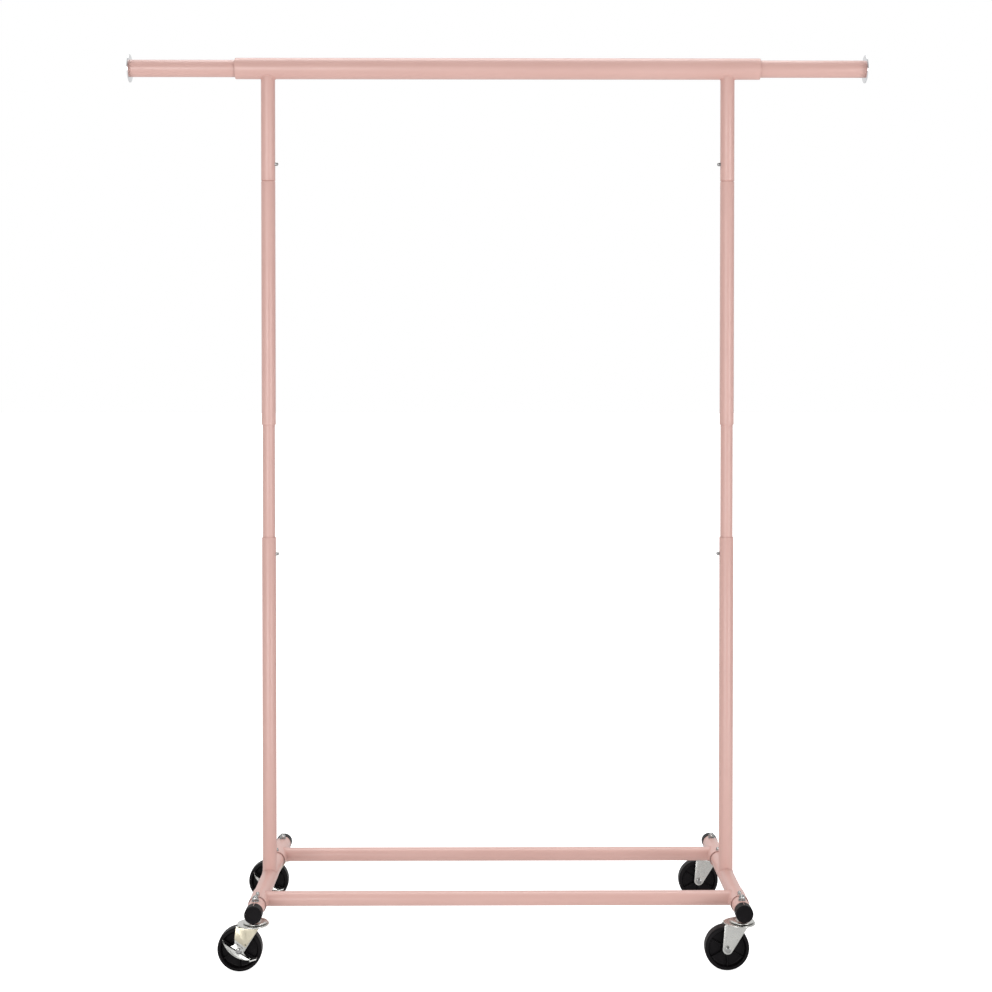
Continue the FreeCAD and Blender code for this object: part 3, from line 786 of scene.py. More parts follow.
class RepeatTree(NodeTools):
    """A geometry node tree built in this script, whose named inputs a modifier sets."""

    def __init__(self, name: str) -> None:
        """Starts a tree with one geometry input and one geometry output.

        Args:
            name: the tree's name.
        """
        super().__init__(bpy.data.node_groups.new(name, "GeometryNodeTree"))
        kind = "NodeSocketGeometry"
        self.sockets: dict[str, str] = {}
        self.declare("Geometry", kind)
        self.tree.interface.new_socket(name="Geometry", in_out="OUTPUT", socket_type=kind)
        self.given = self.tree.nodes.new("NodeGroupInput")
        self.result = self.tree.nodes.new("NodeGroupOutput")

    def declare(self, name: str, kind: str, value: Any = None) -> None:
        """Adds a named input with its default.

        Args:
            name: the input's name.
            kind: its socket type.
            value: its default, where it has one.
        """
        socket = self.tree.interface.new_socket(name=name, in_out="INPUT", socket_type=kind)
        if value is not None:
            socket.default_value = value
        self.sockets[name] = socket.identifier

    def end(self, instances: bpy.types.Node) -> None:
        """Ends the tree with Realize Instances, smooth shading and Set Material.

        Args:
            instances: the node whose output Instances holds the repeated pieces.
        """
        real = self.add("GeometryNodeRealizeInstances")
        smooth = self.add("GeometryNodeSetShadeSmooth")
        dress = self.add("GeometryNodeSetMaterial")
        self.join(instances, "Instances", real, 0)
        self.join(real, 0, smooth, "Geometry")
        self.join(smooth, 0, dress, "Geometry")
        self.join(self.given, "Finish", dress, "Material")
        self.join(dress, 0, self.result, 0)

    def run(self, carrier: bpy.types.Object, inputs: dict[str, Any]) -> bpy.types.Object:
        """Runs the tree on an object and keeps the result as its plain mesh.

        Args:
            carrier: the object that the tree takes its geometry from.
            inputs: a value for each named input.

        Returns:
            The same object, with no modifier.
        """
        modifier = carrier.modifiers.new("repeat", "NODES")
        modifier.node_group = self.tree
        for key, value in inputs.items():
            modifier[self.sockets[key]] = value
        return applied(carrier)


def weld_bead_tree() -> RepeatTree:
    """A tree that lays overlapping scallops along a closed path.

    Returns:
        A tree with inputs Pitch, Bead and Finish. Its carrier's edges are the path.
    """
    made = RepeatTree("weld_bead")
    made.declare("Pitch", "NodeSocketFloat", 1.2 * MM)
    made.declare("Bead", "NodeSocketFloat", 1.5 * MM)
    made.declare("Finish", "NodeSocketMaterial")
    path = made.add("GeometryNodeMeshToCurve")
    even = made.add("GeometryNodeResampleCurve", mode="LENGTH")
    scallop = made.add("GeometryNodeMeshIcoSphere", {"Subdivisions": 2})
    sizes = {"Seed": 7, 2: 0.88, 3: 1.08}
    wander = made.add("FunctionNodeRandomValue", sizes, data_type="FLOAT")
    place = made.add("GeometryNodeInstanceOnPoints")
    made.join(made.given, "Geometry", path, "Mesh")
    made.join(path, "Curve", even, "Curve")
    made.join(made.given, "Pitch", even, "Length")
    made.join(made.given, "Bead", scallop, "Radius")
    made.join(even, "Curve", place, "Points")
    made.join(scallop, "Mesh", place, "Instance")
    made.join(wander, 1, place, "Scale")
    made.end(place)
    return made


def ring_tree(name: str) -> RepeatTree:
    """A tree that repeats its carrier evenly about an axis through a centre.

    Args:
        name: the tree's name.

    Returns:
        A tree with inputs Count, Centre, Axis and Finish.
    """
    made = RepeatTree(name)
    made.declare("Count", "NodeSocketInt", 6)
    made.declare("Centre", "NodeSocketVector")
    made.declare("Axis", "NodeSocketVector", (0.0, 0.0, 1.0))
    made.declare("Finish", "NodeSocketMaterial")
    home = made.add("GeometryNodeTransform")
    back = made.add("ShaderNodeVectorMath", {"Scale": -1.0}, operation="SCALE")
    made.join(made.given, "Centre", back, 0)
    made.join(made.given, "Geometry", home, "Geometry")
    made.join(back, "Vector", home, "Translation")
    spots = made.add("GeometryNodeMeshLine", {"Offset": (0.0, 0.0, 0.0)}, mode="OFFSET")
    made.join(made.given, "Count", spots, "Count")
    made.join(made.given, "Centre", spots, "Start Location")
    number = made.add("GeometryNodeInputIndex")
    share = made.add("ShaderNodeMath", operation="DIVIDE")
    made.join(number, "Index", share, 0)
    made.join(made.given, "Count", share, 1)
    angle = made.add("ShaderNodeMath", {1: TAU}, operation="MULTIPLY")
    made.join(share, "Value", angle, 0)
    spin = made.add("FunctionNodeAxisAngleToRotation")
    made.join(made.given, "Axis", spin, "Axis")
    made.join(angle, "Value", spin, "Angle")
    place = made.add("GeometryNodeInstanceOnPoints")
    made.join(spots, "Mesh", place, "Points")
    made.join(home, "Geometry", place, "Instance")
    made.join(spin, "Rotation", place, "Rotation")
    made.end(place)
    return made


# ---------------------------------------------------------------- the workshop


class Workshop:
    """Dresses pieces, sets them on their bodies and reports them."""

    def __init__(self, frame: dict[str, Any]) -> None:
        """Keeps the frame and builds the trees that several pieces share.
        """
        self.nodes: dict[str, bpy.types.Object] = frame["nodes"]
        bodies = frame["record"]["behaviour"]["bodies"]
        self.body_of = {node: body for body, nodes in bodies.items() for node in nodes}
        self.slot_of = {p["node"]: p["material_slot"] for p in frame["record"]["subparts"]}
        self.beads = weld_bead_tree()
        self.rings = ring_tree("ring_of_pieces")
        self.shown: set[str] = set()

    def fit(
        self,
        thing: bpy.types.Object,
        finish: Finish,
        node: str,
        stands_in: bool = True,
        crease: float = 30.0,
    ) -> None:
        """Finishes a piece and lets it ride with a CAD node's body.

        Args:
            thing: the piece, at the origin.
            finish: its surface.
            node: the CAD node that it stands for, or lies on.
            stands_in: whether the piece replaces that node.
            crease: edges sharper than this many degrees stay crisp.
        """
        mesh = thing.data
        mesh.materials.clear()
        mesh.materials.append(finish.material())
        for face in mesh.polygons:
            face.material_index = 0
            face.use_smooth = True
        mesh.set_sharp_from_angle(angle=math.radians(crease))
        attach(thing, self.body_of[node])
        if stands_in:
            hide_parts(node)
            self.shown.add(node)
        LOG.info("%s on %s, %d faces", thing.name, self.body_of[node], len(mesh.polygons))

    def dress(self, node: str, finish: Finish) -> None:
        """Gives a CAD node that stays visible its finish.

        Args:
            node: the CAD node.
            finish: its surface.
        """
        thing = self.nodes[node]
        thing.data.materials.clear()
        thing.data.materials.append(finish.material())
        self.shown.add(node)
        LOG.info("%s keeps its own shape", node)

    def weld(self, name: str, path: list[Vector], node: str, bead: float = 1.0 * MM) -> None:
        """Lays a weld bead along a closed path.

        Args:
            name: the bead's name.
            path: points round the joint.
            node: the CAD node whose body the bead belongs to.
            bead: the bead's radius.
        """
        count = len(path)
        line = bpy.data.meshes.new(name)
        edges = [(n, (n + 1) % count) for n in range(count)]
        line.from_pydata([tuple(p) for p in path], edges, [])
        carrier = bpy.data.objects.new(name, line)
        bpy.context.scene.collection.objects.link(carrier)
        inputs = {"Pitch": 0.8 * bead, "Bead": bead, "Finish": PINK.material()}
        self.fit(self.beads.run(carrier, inputs), PINK, node, stands_in=False)

    def ring(
        self, piece: bpy.types.Object, count: int, centre: Vector, axis: Axis, finish: Finish
    ) -> bpy.types.Object:
        """Repeats a piece evenly about an axis.

        Args:
            piece: the first of the pieces, where it belongs.
            count: how many there are.
            centre: a point on the axis.
            axis: the axis's direction.
            finish: their surface.

        Returns:
            The same object, which is now all of them.
        """
        inputs = {"Count": count, "Centre": tuple(centre), "Axis": axis.value}
        return self.rings.run(piece, {**inputs, "Finish": finish.material()})

    def dress_the_rest(self) -> None:
        """Gives every CAD node that nothing stands for the finish of its slot."""
        by_slot = {
            "pink_paint": PINK,
            "chrome": CHROME,
            "zinc": ZINC,
            "spring_steel": SPRING_STEEL,
            "black_plastic": BLACK_CAP,
            "wheel_plastic": WHEEL_BLACK,
            "guide_nylon": NYLON,
        }
        for node in sorted(set(self.nodes) - self.shown):
            self.dress(node, by_slot[self.slot_of[node]])


def centre_of(node: str) -> Vector:
    """The middle of a CAD node's box."""
    low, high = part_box(node)
    return (low + high) / 2


def extent_of(node: str) -> Vector:
    """The size of a CAD node's box."""
    low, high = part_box(node)
    return high - low


def upright(node: str) -> Matrix:
    """The place on the floor below a CAD node's middle, with +Z up."""
    middle = centre_of(node)
    return Matrix.Translation((middle.x, middle.y, 0.0))


# ---------------------------------------------------------------- hanging bar


@dataclass
class HangingBar:
    """The large cross tube, its pull-out rods and their end discs."""

    shop: Workshop
    wall: float = 1.5 * MM
    roll: float = 1.3 * MM
    steps: int = 128
    rod_wall: float = 1.2 * MM
    rod_lip: float = 0.5 * MM
    rod_steps: int = 112
    rim: float = 0.7 * MM
    dish: float = 0.5 * MM
    spigot: float = 14.0 * MM

    def build(self) -> None:
        """Makes the bar, both rods and both discs."""
        self.bar()
        for side in Side:
            self.rod(side)
            self.disc(side)

    def bar(self) -> None:
        """A tube whose mouths are rolled slightly inwards over the guide bushes."""
        size = extent_of("hanging_bar")
        outer, half = size.z / 2, size.x / 2
        corners = tube_outline(outer, self.wall, -half, half, self.roll)
        shell = turned(corners, self.steps).moved(Axis.RIGHT.at(centre_of("hanging_bar")))
        self.shop.fit(new_object("hanging_bar_tube", shell), PINK, "hanging_bar")

    def rod(self, side: Side) -> None:
        """A plain tube that slides in the bar.

        Args:
            side: the side of the rack that it is on.
        """
        node = f"{side.word}_extension_rod"
        size = extent_of(node)
        half = size.x / 2
        corners = tube_outline(size.z / 2, self.rod_wall, -half, half, self.rod_lip)
        shell = turned(corners, self.rod_steps).moved(side.outward.at(centre_of(node)))
        self.shop.fit(new_object(f"{side.word}_rod_tube", shell), PINK, node)

    def disc(self, side: Side) -> None:
        """A pressed disc with a rolled rim and a shallow dish, on a plug inside the rod.

        Args:
            side: the side of the rack that it is on.
        """
        node = f"{side.word}_end_disc"
        low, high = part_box(node)
        radius = (high.z - low.z) / 2
        outer_face = high.x if side is Side.RIGHT else -low.x
        rod_low, rod_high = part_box(f"{side.word}_extension_rod")
        inner_face = rod_high.x if side is Side.RIGHT else -rod_low.x
        bore = (rod_high.z - rod_low.z) / 2 - self.rod_wall - 0.1 * MM
        face = [
            (0.0, inner_face - self.spigot),
            (bore, inner_face - self.spigot),
            (bore, inner_face),
            (radius, inner_face),
            (radius, outer_face),
            (radius - 3.0 * MM, outer_face),
            (radius - 5.0 * MM, outer_face - self.dish),
            (0.0, outer_face - 0.2 * self.dish),
        ]
        middle = Vector((0.0, (low.y + high.y) / 2, (low.z + high.z) / 2))
        section = softened(face, self.rim, 5, 12.0)
        shell = turned(section, self.steps).moved(side.outward.at(middle))
        self.shop.fit(new_object(f"{side.word}_disc", shell), CHROME, node, crease=50.0)


# ---------------------------------------------------------------- posts


@dataclass
class Posts:
    """The four-part posts on both sides, with their welds and snap buttons."""

    shop: Workshop
    lower_wall: float = 1.2 * MM
    wall: float = 1.5 * MM
    neck_step: float = 1.6 * MM
    shoulder: float = 2.0 * MM
    hole: float = 3.7 * MM
    hole_pitch: float = 100.0 * MM
    hole_count: int = 3
    button: float = 3.3 * MM

    def build(self) -> None:
        """Makes each side's posts from the bottom up, and then the buttons."""
        for side in Side:
            self.lower(side)
            self.inner(side)
            self.middle(side)
            self.upper(side)
            for kind in ("height", "joint"):
                node = f"{side.word}_{kind}_button"
                snap_button(self.shop, node, side.inward, self.button)

    def side_hole(self, side: Side, height: float) -> Hole:
        """A button hole in the inner wall of a post."""
        middle = centre_of(f"{side.word}_lower_post")
        return side.inward.at((middle.x, middle.y, height)), self.hole, DRILL_DEPTH

    def button_height(self, side: Side, kind: str) -> float:
        """The height of one of a post's snap buttons."""
        return centre_of(f"{side.word}_{kind}_button").z

    def lower(self, side: Side) -> None:
        """The outer tube, coped and welded to its foot rail, with its three height holes.

        Args:
            side: the side of the rack that it is on.
        """
        node = f"{side.word}_lower_post"
        rail = f"{side.word}_foot_rail"
        middle, rail_middle = centre_of(node), centre_of(rail)
        rail_radius = extent_of(rail).x / 2
        outer = extent_of(node).x / 2
        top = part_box(node)[1].z
        seat = saddle(rail_radius, rail_middle.z, 0)
        shell = coped_tube(outer, self.lower_wall, seat, level(top), (False, True))
        thing = new_object(node + "_tube", shell.moved(upright(node)))
        first = self.button_height(side, "height")
        heights = [first - self.hole_pitch * n for n in range(self.hole_count)]
        drilled(thing, [self.side_hole(side, height) for height in heights])
        self.shop.fit(thing, PINK, node)
        path = self.saddle_path(outer + WELD_STAND_OFF, seat, middle)
        self.shop.weld(f"{side.word}_rail_weld", path, node)

    def inner(self, side: Side) -> None:
        """The sliding tube.

        Args:
            side: the side of the rack that it is on.
        """
        node = f"{side.word}_inner_post"
        low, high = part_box(node)
        corners = tube_outline((high.x - low.x) / 2, self.wall, low.z, high.z, 0.4 * MM)
        thing = new_object(node + "_tube", turned(corners).moved(upright(node)))
        drilled(thing, [self.side_hole(side, self.button_height(side, "height"))])
        self.shop.fit(thing, PINK, node)

    def middle(self, side: Side) -> None:
        """The middle tube, swaged down at its top to plug into the upper post.

        Args:
            side: the side of the rack that it is on.
        """
        node = f"{side.word}_middle_post"
        low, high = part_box(node)
        outer = (high.x - low.x) / 2
        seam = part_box(f"{side.word}_upper_post")[0].z
        neck = outer - self.neck_step
        bore = outer - self.wall
        corners = [
            (bore, low.z),
            (outer, low.z),
            (outer, seam - self.shoulder),
            (neck, seam),
            (neck, high.z),
            (neck - self.wall, high.z),
            (neck - self.wall, seam),
            (bore, seam - self.shoulder),
        ]
        shell = turned(softened(corners, 0.6 * MM))
        thing = new_object(node + "_tube", shell.moved(upright(node)))
        drilled(thing, [self.side_hole(side, self.button_height(side, "joint"))])
        self.shop.fit(thing, PINK, node)

    def upper(self, side: Side) -> None:
        """The upper tube, coped and welded under the hanging bar.

        Args:
            side: the side of the rack that it is on.
        """
        node = f"{side.word}_upper_post"
        low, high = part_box(node)
        outer = (high.x - low.x) / 2
        bar_middle = centre_of("hanging_bar")
        bar_radius = extent_of("hanging_bar").z / 2
        seat = saddle(bar_radius, bar_middle.z, 1, -1.0)
        shell = coped_tube(outer, self.wall, level(low.z), seat, (True, False))
        thing = new_object(node + "_tube", shell.moved(upright(node)))
        drilled(thing, [self.side_hole(side, self.button_height(side, "joint"))])
        self.shop.fit(thing, PINK, node)
        path = self.saddle_path(outer + WELD_STAND_OFF, seat, centre_of(node))
        self.shop.weld(f"{side.word}_bar_weld", path, node)

    def saddle_path(self, radius: float, seat: EndHeight, middle: Vector) -> list[Vector]:
        """The closed line where a post meets the tube that it is welded to."""
        points = arc((0.0, 0.0), radius, 0.0, 360.0, WELD_POINTS)[:-1]
        return [Vector((middle.x + x, middle.y + y, seat(x, y))) for x, y in points]


def snap_button(shop: Workshop, node: str, facing: Axis, radius: float) -> None:
    """Makes a snap button: a domed plunger with a flange behind the wall.

    Args:
        shop: the workshop.
        node: the button's CAD node.
        facing: the way the button sticks out.
        radius: the plunger's radius.
    """
    low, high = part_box(node)
    direction = Vector(facing.value)
    middle = (low + high) / 2
    length = abs((high - low).dot(direction))
    flange = max(high.y - low.y, high.x - low.x if facing is Axis.UP else high.z - low.z) / 2
    thick = 0.8 * MM
    outline = [
        (0.0, 0.0),
        (flange, 0.0),
        (flange, thick),
        (radius, thick),
        (radius, length - 2.6 * MM),
        (radius * 0.80, length - 0.9 * MM),
        (radius * 0.42, length - 0.15 * MM),
        (0.0, length),
    ]
    start = middle - direction * (length / 2)
    shell = turned(softened(outline, 1.0 * MM, 4, 12.0), 48).moved(facing.at(start))
    shop.fit(new_object(node + "_plunger", shell), BUTTON_STEEL, node, crease=55.0)


# ---------------------------------------------------------------- base


@dataclass
class Base:
    """Foot rails, base bars with their collars, end caps and the collar buttons."""

    shop: Workshop
    steps: int = 112
    rail_wall: float = 1.5 * MM
    bar_wall: float = 1.2 * MM
    collar_wall: float = 1.4 * MM
    mouth: float = 0.9 * MM
    mouth_depth: float = 6.0 * MM
    cap_flange: float = 6.0 * MM
    cap_plug: float = 16.0 * MM
    cap_skirt: float = 14.0 * MM
    cap_slit: float = 1.2 * MM
    hole: float = 3.7 * MM
    button: float = 3.3 * MM

    def build(self) -> None:
        """Makes the rails, the bars and everything on them."""
        for side in Side:
            self.rail(side)
        self.caps()
        for row in Row:
            self.bar(row)
            self.collars(row)
            for side in Side:
                snap_button(self.shop, f"{row.word}_{side.word}_base_button", Axis.UP, self.button)

    def rail(self, side: Side) -> None:
        """A foot rail, drilled for the collar buttons.

        Args:
            side: the side of the rack that it is on.
        """
        node = f"{side.word}_foot_rail"
        size, middle = extent_of(node), centre_of(node)
        corners = tube_outline(size.x / 2, self.rail_wall, -size.y / 2, size.y / 2)
        shell = turned(corners, self.steps).moved(Axis.BACK.at(middle))
        holes = [self.top_hole(row, side, middle.z) for row in Row]
        self.shop.fit(drilled(new_object(node + "_tube", shell), holes), PINK, node)

    def top_hole(self, row: Row, side: Side, start: float) -> Hole:
        """A collar button's hole, drilled upwards from a height."""
        button = centre_of(f"{row.word}_{side.word}_base_button")
        return Axis.UP.at((button.x, button.y, start)), self.hole, DRILL_DEPTH

    def caps(self) -> None:
        """Four plastic caps with a soft rim, a slightly sunk face and a slit skirt."""
        node = "foot_rail_end_caps"
        low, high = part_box(node)
        shell = Shell()
        for side in Side:
            rail = f"{side.word}_foot_rail"
            middle, size = centre_of(rail), extent_of(rail)
            radius = (high.z - low.z) / 2
            plug = size.x / 2 - self.rail_wall - 0.1 * MM
            face = [
                (0.0, -self.cap_plug),
                (plug - 1.0 * MM, -self.cap_plug),
                (plug, -self.cap_plug + 3.0 * MM),
                (plug, 0.0),
                (radius, 0.0),
                (radius, self.cap_flange - 0.4 * MM),
                (radius - 2.4 * MM, self.cap_flange),
                (radius - 3.6 * MM, self.cap_flange - 0.35 * MM),
                (0.0, self.cap_flange - 0.25 * MM),
            ]
            for row in Row:
                place = row.outward.at((middle.x, row.value * size.y / 2, middle.z))
                shell = shell + turned(softened(face, 1.4 * MM, 5, 14.0)).moved(place)
                shell = shell + self.skirt(radius - 0.02 * MM, size.x / 2 + 0.1 * MM, place)
        self.shop.fit(new_object("rail_caps", shell), BLACK_CAP, node, crease=40.0)

    def skirt(self, outer: float, inner: float, place: Matrix) -> Shell:
        """The part of a cap that runs back over the rail, slit along its top.

        Args:
            outer: its outer radius, in metres.
            inner: its inner radius, in metres.
            place: where the cap is, with own +Z pointing away from the rail.

        Returns:
            The open ring.
        """
        up = place.to_3x3().transposed() @ Vector((0.0, 0.0, 1.0))
        top = math.degrees(math.atan2(up.y, up.x))
        gap = math.degrees(self.cap_slit / 2 / outer)
        outside = arc((0.0, 0.0), outer, top + gap, top + 360.0 - gap, TURN_STEPS)
        inside = arc((0.0, 0.0), inner, top + 360.0 - gap, top + gap, TURN_STEPS)
        return slab(outside + inside, -self.cap_skirt, 0.6 * MM).moved(place)

    def bar(self, row: Row) -> None:
        """A cross tube, coped to its collars.

        Args:
            row: the row that it is in.
        """
        node = f"{row.word}_base_bar"
        middle, outer = centre_of(node), extent_of(node).z / 2
        reach = centre_of("right_foot_rail").x
        collar = extent_of(f"{row.word}_bar_collars").z / 2
        seats = {side: saddle(collar, side.value * reach, 0, -float(side.value)) for side in Side}
        ends = seats[Side.LEFT], seats[Side.RIGHT]
        place = Axis.RIGHT.at(middle)
        shell = coped_tube(outer, self.bar_wall, *ends, (False, False)).moved(place)
        self.shop.fit(new_object(node + "_tube", shell), PINK, node)
        rim = arc((0.0, 0.0), outer + WELD_STAND_OFF, 0.0, 360.0, WELD_POINTS)[:-1]
        for side, seat in seats.items():
            path = [place @ Vector((x, y, seat(x, y))) for x, y in rim]
            self.shop.weld(f"{row.word}_{side.word}_collar_weld", path, node)

    def collars(self, row: Row) -> None:
        """The two sleeves that slide over the rails, each with its button hole.

        Args:
            row: the row of the bar that they are welded to.
        """
        node = f"{row.word}_bar_collars"
        low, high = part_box(node)
        outer = (high.z - low.z) / 2
        half = (high.y - low.y) / 2
        inner = outer - self.collar_wall
        mouth = inner + self.mouth
        ends = [(mouth, -half), (outer, -half), (outer, half), (mouth, half)]
        bore = [(inner, half - self.mouth_depth), (inner, self.mouth_depth - half)]
        corners = softened(ends + bore, TUBE_LIP)
        parts = Shell()
        for side in Side:
            along = centre_of(f"{side.word}_foot_rail").x
            middle = Vector((along, (low.y + high.y) / 2, (low.z + high.z) / 2))
            parts = parts + turned(corners, self.steps).moved(Axis.BACK.at(middle))
        holes = [self.top_hole(row, side, (low.z + high.z) / 2) for side in Side]
        thing = drilled(new_object(f"{row.word}_collar_sleeves", parts), holes)
        self.shop.fit(thing, PINK, node)


def parted(thing: bpy.types.Object) -> list[Shell]:
    """Splits a mesh into its separate closed surfaces.

    Args:
        thing: the object, which stays as it is.

    Returns:
        One shell for each surface, in world coordinates.
    """
    work = bmesh.new()
    work.from_mesh(thing.data)
    work.transform(thing.matrix_world)
    bmesh.ops.remove_doubles(work, verts=work.verts[:], dist=0.001 * MM)
    waiting = set(work.verts)
    shells: list[Shell] = []
    for start in list(work.verts):
        if start not in waiting:
            continue
        waiting.discard(start)
        group, row = [], [start]
        while row:
            vert = row.pop()
            group.append(vert)
            for edge in vert.link_edges:
                other = edge.other_vert(vert)
                if other in waiting:
                    waiting.discard(other)
                    row.append(other)
        order = {vert: n for n, vert in enumerate(group)}
        around = {face for vert in group for face in vert.link_faces}
        faces = sorted(around, key=lambda face: face.index)
        points = [vert.co.copy() for vert in group]
        shells.append(Shell(points, [tuple(order[v] for v in face.verts) for face in faces]))
    work.free()
    return shells


@dataclass
class LeafSprings:
    """The V springs behind the buttons, each made as a piece of its own."""

    shop: Workshop
    travel: float = 7.2 * MM

    def build(self) -> None:
        """Makes a piece of each spring, on the body of the node that holds it."""
        for side in Side:
            for kind in ("height", "joint"):
                self.spring(f"{side.word}_{kind}_button", f"{kind}_button_springs", side.inward)
            for row in Row:
                button = f"{row.word}_{side.word}_base_button"
                self.spring(button, "base_button_springs", Axis.UP)

    def spring(self, button: str, node: str, facing: Axis) -> None:
        """One spring: the piece of the holding node that comes nearest its button.

        Args:
            button: the CAD node of the button that it pushes.
            node: the CAD node that holds the spring.
            facing: the way the button sticks out.
        """
        place = centre_of(button)
        out = Vector(facing.value)

        def distance(shell: Shell) -> float:
            """How near a spring comes to the button's middle."""
            return min((point - place).length for point in shell.points)

        near = min(parted(self.shop.nodes[node]), key=distance)
        reach = [point.dot(out) for point in near.points]
        anchor = near.points[reach.index(min(reach))].copy()
        thing = new_object(button.replace("button", "spring"), near)
        self.shop.fit(thing, SPRING_STEEL, node)
        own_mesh(thing)


# ---------------------------------------------------------------- casters


@dataclass
class Caster:
    """One swivel caster: fork, wheel, axle and, on the left, its brake."""

    shop: Workshop
    row: Row
    side: Side
    trail: float = 26.0 * MM
    leg: float = 2.0 * MM
    foot: float = 8.5 * MM
    head_back: float = 5.0 * MM
    head_front: float = 36.0 * MM
    crown_radius: float = 27.0 * MM
    crown_offset: float = 4.0 * MM
    crown: float = 2.6 * MM
    kingpin: float = 6.3 * MM
    race: float = 15.0 * MM
    web: float = 4.0 * MM
    rim: float = 6.5 * MM
    shoulder: float = 2.4 * MM
    hub: float = 10.0 * MM
    bore: float = 6.1 * MM
    tread_steps: int = 128
    ribs: int = 6
    rib_end: float = 1.2 * MM
    rib_waist: float = 0.55 * MM
    rib_half: float = 9.2 * MM
    axle: float = 3.0 * MM
    flats: float = 10.0 * MM

    @property
    def name(self) -> str:
        """The caster's name, which its CAD nodes start with."""
        return f"{self.row.word}_{self.side.word}_caster"

    @property
    def centre(self) -> Vector:
        """The wheel's centre."""
        return centre_of(self.name + "_wheel")

    @property
    def facing(self) -> Matrix:
        """Own x runs along the rack, own y is up and own +Z is to the front, from the wheel's centre."""
        turn = Matrix(((1, 0, 0, 0), (0, 0, -1, 0), (0, 1, 0, 0), (0, 0, 0, 1)))
        return Matrix.Translation(self.centre) @ turn

    def build(self) -> None:
        """Makes the caster's pieces from the wheel outwards."""
        self.wheel()
        self.fork()
        self.axle_bolt()
        if self.side is Side.LEFT:
            self.brake_lever()
            self.brake_plate()

    def wheel(self) -> None:
        """A moulded wheel with a crowned tread, a parting line, a deep web and radial ribs."""
        node = self.name + "_wheel"
        size = extent_of(node)
        tread, half_hub = size.x / 2, size.y / 2
        half = half_hub - 1.0 * MM
        inside = tread - self.rim
        profile = [
            (self.bore, half_hub),
            (self.hub - 1.5 * MM, half_hub),
            (self.hub, half_hub - 1.5 * MM),
            (self.hub + 1.0 * MM, self.web + 0.6 * MM),
            (self.hub + 2.0 * MM, self.web),
            (inside - 2.2 * MM, self.web),
            (inside - 1.0 * MM, self.web + 0.8 * MM),
            (inside, half - 1.6 * MM),
            (inside + 0.8 * MM, half),
            (inside + 2.2 * MM, half),
            (inside + 2.8 * MM, half - 0.6 * MM),
            (tread - self.shoulder, half - 0.6 * MM),
            (tread - 0.35 * MM, half - self.shoulder - 0.4 * MM),
            (tread, 0.35 * half),
            (tread, 0.4 * MM),
            (tread - 0.25 * MM, 0.0),
        ]
        mirrored = [(radius, -across) for radius, across in reversed(profile[:-1])]
        section = softened(profile + mirrored, 0.8 * MM, 3, 10.0)
        shell = turned(section, self.tread_steps).moved(Axis.FRONT.at(self.centre))
        body = new_object(self.name + "_wheel_body", shell)
        self.shop.fit(body, WHEEL_BLACK, node, crease=38.0)
        low, high = self.hub - 0.5 * MM, inside + 0.6 * MM
        end, waist, halfway = self.rib_end, self.rib_waist, (low + high) / 2
        one_side = [(end, low), (waist, halfway), (end, high)]
        outline = [(-end, low), *one_side, (-end, high), (-waist, halfway)]
        rib = slab(outline, -self.rib_half, self.rib_half).moved(self.facing)
        first = new_object(self.name + "_wheel_ribs", rib)
        ribs = self.shop.ring(first, self.ribs, self.centre, Axis.BACK, WHEEL_BLACK)
        self.shop.fit(bevelled(ribs, 0.3 * MM), WHEEL_BLACK, node, stands_in=False)

    def fork_outline(self) -> list[Point2]:
        """A leg's outline: round foot, nearly upright back and sloping front.

        Returns:
            Its corners, from the wheel's centre, with y up.
        """
        node = self.name + "_fork"
        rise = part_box(node)[1].z - self.crown / 2 - self.centre.z
        reach = math.hypot(rise, self.head_front)
        touch = math.degrees(math.atan2(rise, self.head_front) - math.acos(self.foot / reach))
        foot = arc((0.0, 0.0), self.foot, 180.0, 360.0 + touch, 24)
        return [*foot, (self.head_front, rise), (-self.head_back, rise)]

    def plate_piece(
        self, name: str, outline: Sequence[Point2], near: float, far: float
    ) -> bpy.types.Object:
        """A flat piece that stands square to the axle.

        Args:
            name: the object's name.
            outline: its corners, from the wheel's centre, with y up.
            near: where it starts, ahead of the wheel's centre.
            far: where it ends, ahead of the wheel's centre.

        Returns:
            The object.
        """
        return new_object(name, slab(outline, near, far).moved(self.facing))

    def fork(self) -> None:
        """Two legs and a crown with its kingpin hole and race groove, united and rounded."""
        node = self.name + "_fork"
        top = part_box(node)[1].z
        half = extent_of(self.name + "_axle_sleeve").y / 2
        legs = [
            self.plate_piece(f"{node}_leg_{n}", self.fork_outline(), start, start + self.leg)
            for n, start in enumerate((half, -half - self.leg))
        ]
        stem = Vector((self.centre.x + self.trail, self.centre.y, top - self.crown))
        middle = stem - Vector((self.crown_offset, 0.0, 0.0))
        edge, thick = self.crown_radius, self.crown
        plate = softened([(0.0, 0.0), (edge, 0.0), (edge, thick), (0.0, thick)], 0.9 * MM)
        crown = new_object(node + "_crown", turned(plate).moved(Axis.UP.at(middle)))
        raceway = [
            (self.race - 1.7 * MM, thick + 1.0 * MM),
            (self.race - 1.3 * MM, thick - 1.0 * MM),
            (self.race + 1.3 * MM, thick - 1.0 * MM),
            (self.race + 1.7 * MM, thick + 1.0 * MM),
        ]
        groove = new_object(node + "_groove", turned(raceway, 64).moved(Axis.UP.at(stem)))
        thing = merged([crown, *legs])
        bevelled(thing, 0.45 * MM, 40.0)
        drilled(thing, [(Axis.UP.at(stem - Vector((0.0, 0.0, 5.0 * MM))), self.kingpin, 12.0 * MM)])
        carved(thing, groove)
        across = (self.centre.x, self.centre.y - half - 2 * self.leg, self.centre.z)
        drilled(thing, [(Axis.BACK.at(across), self.axle + 0.1 * MM, 2 * half + 4 * self.leg)])
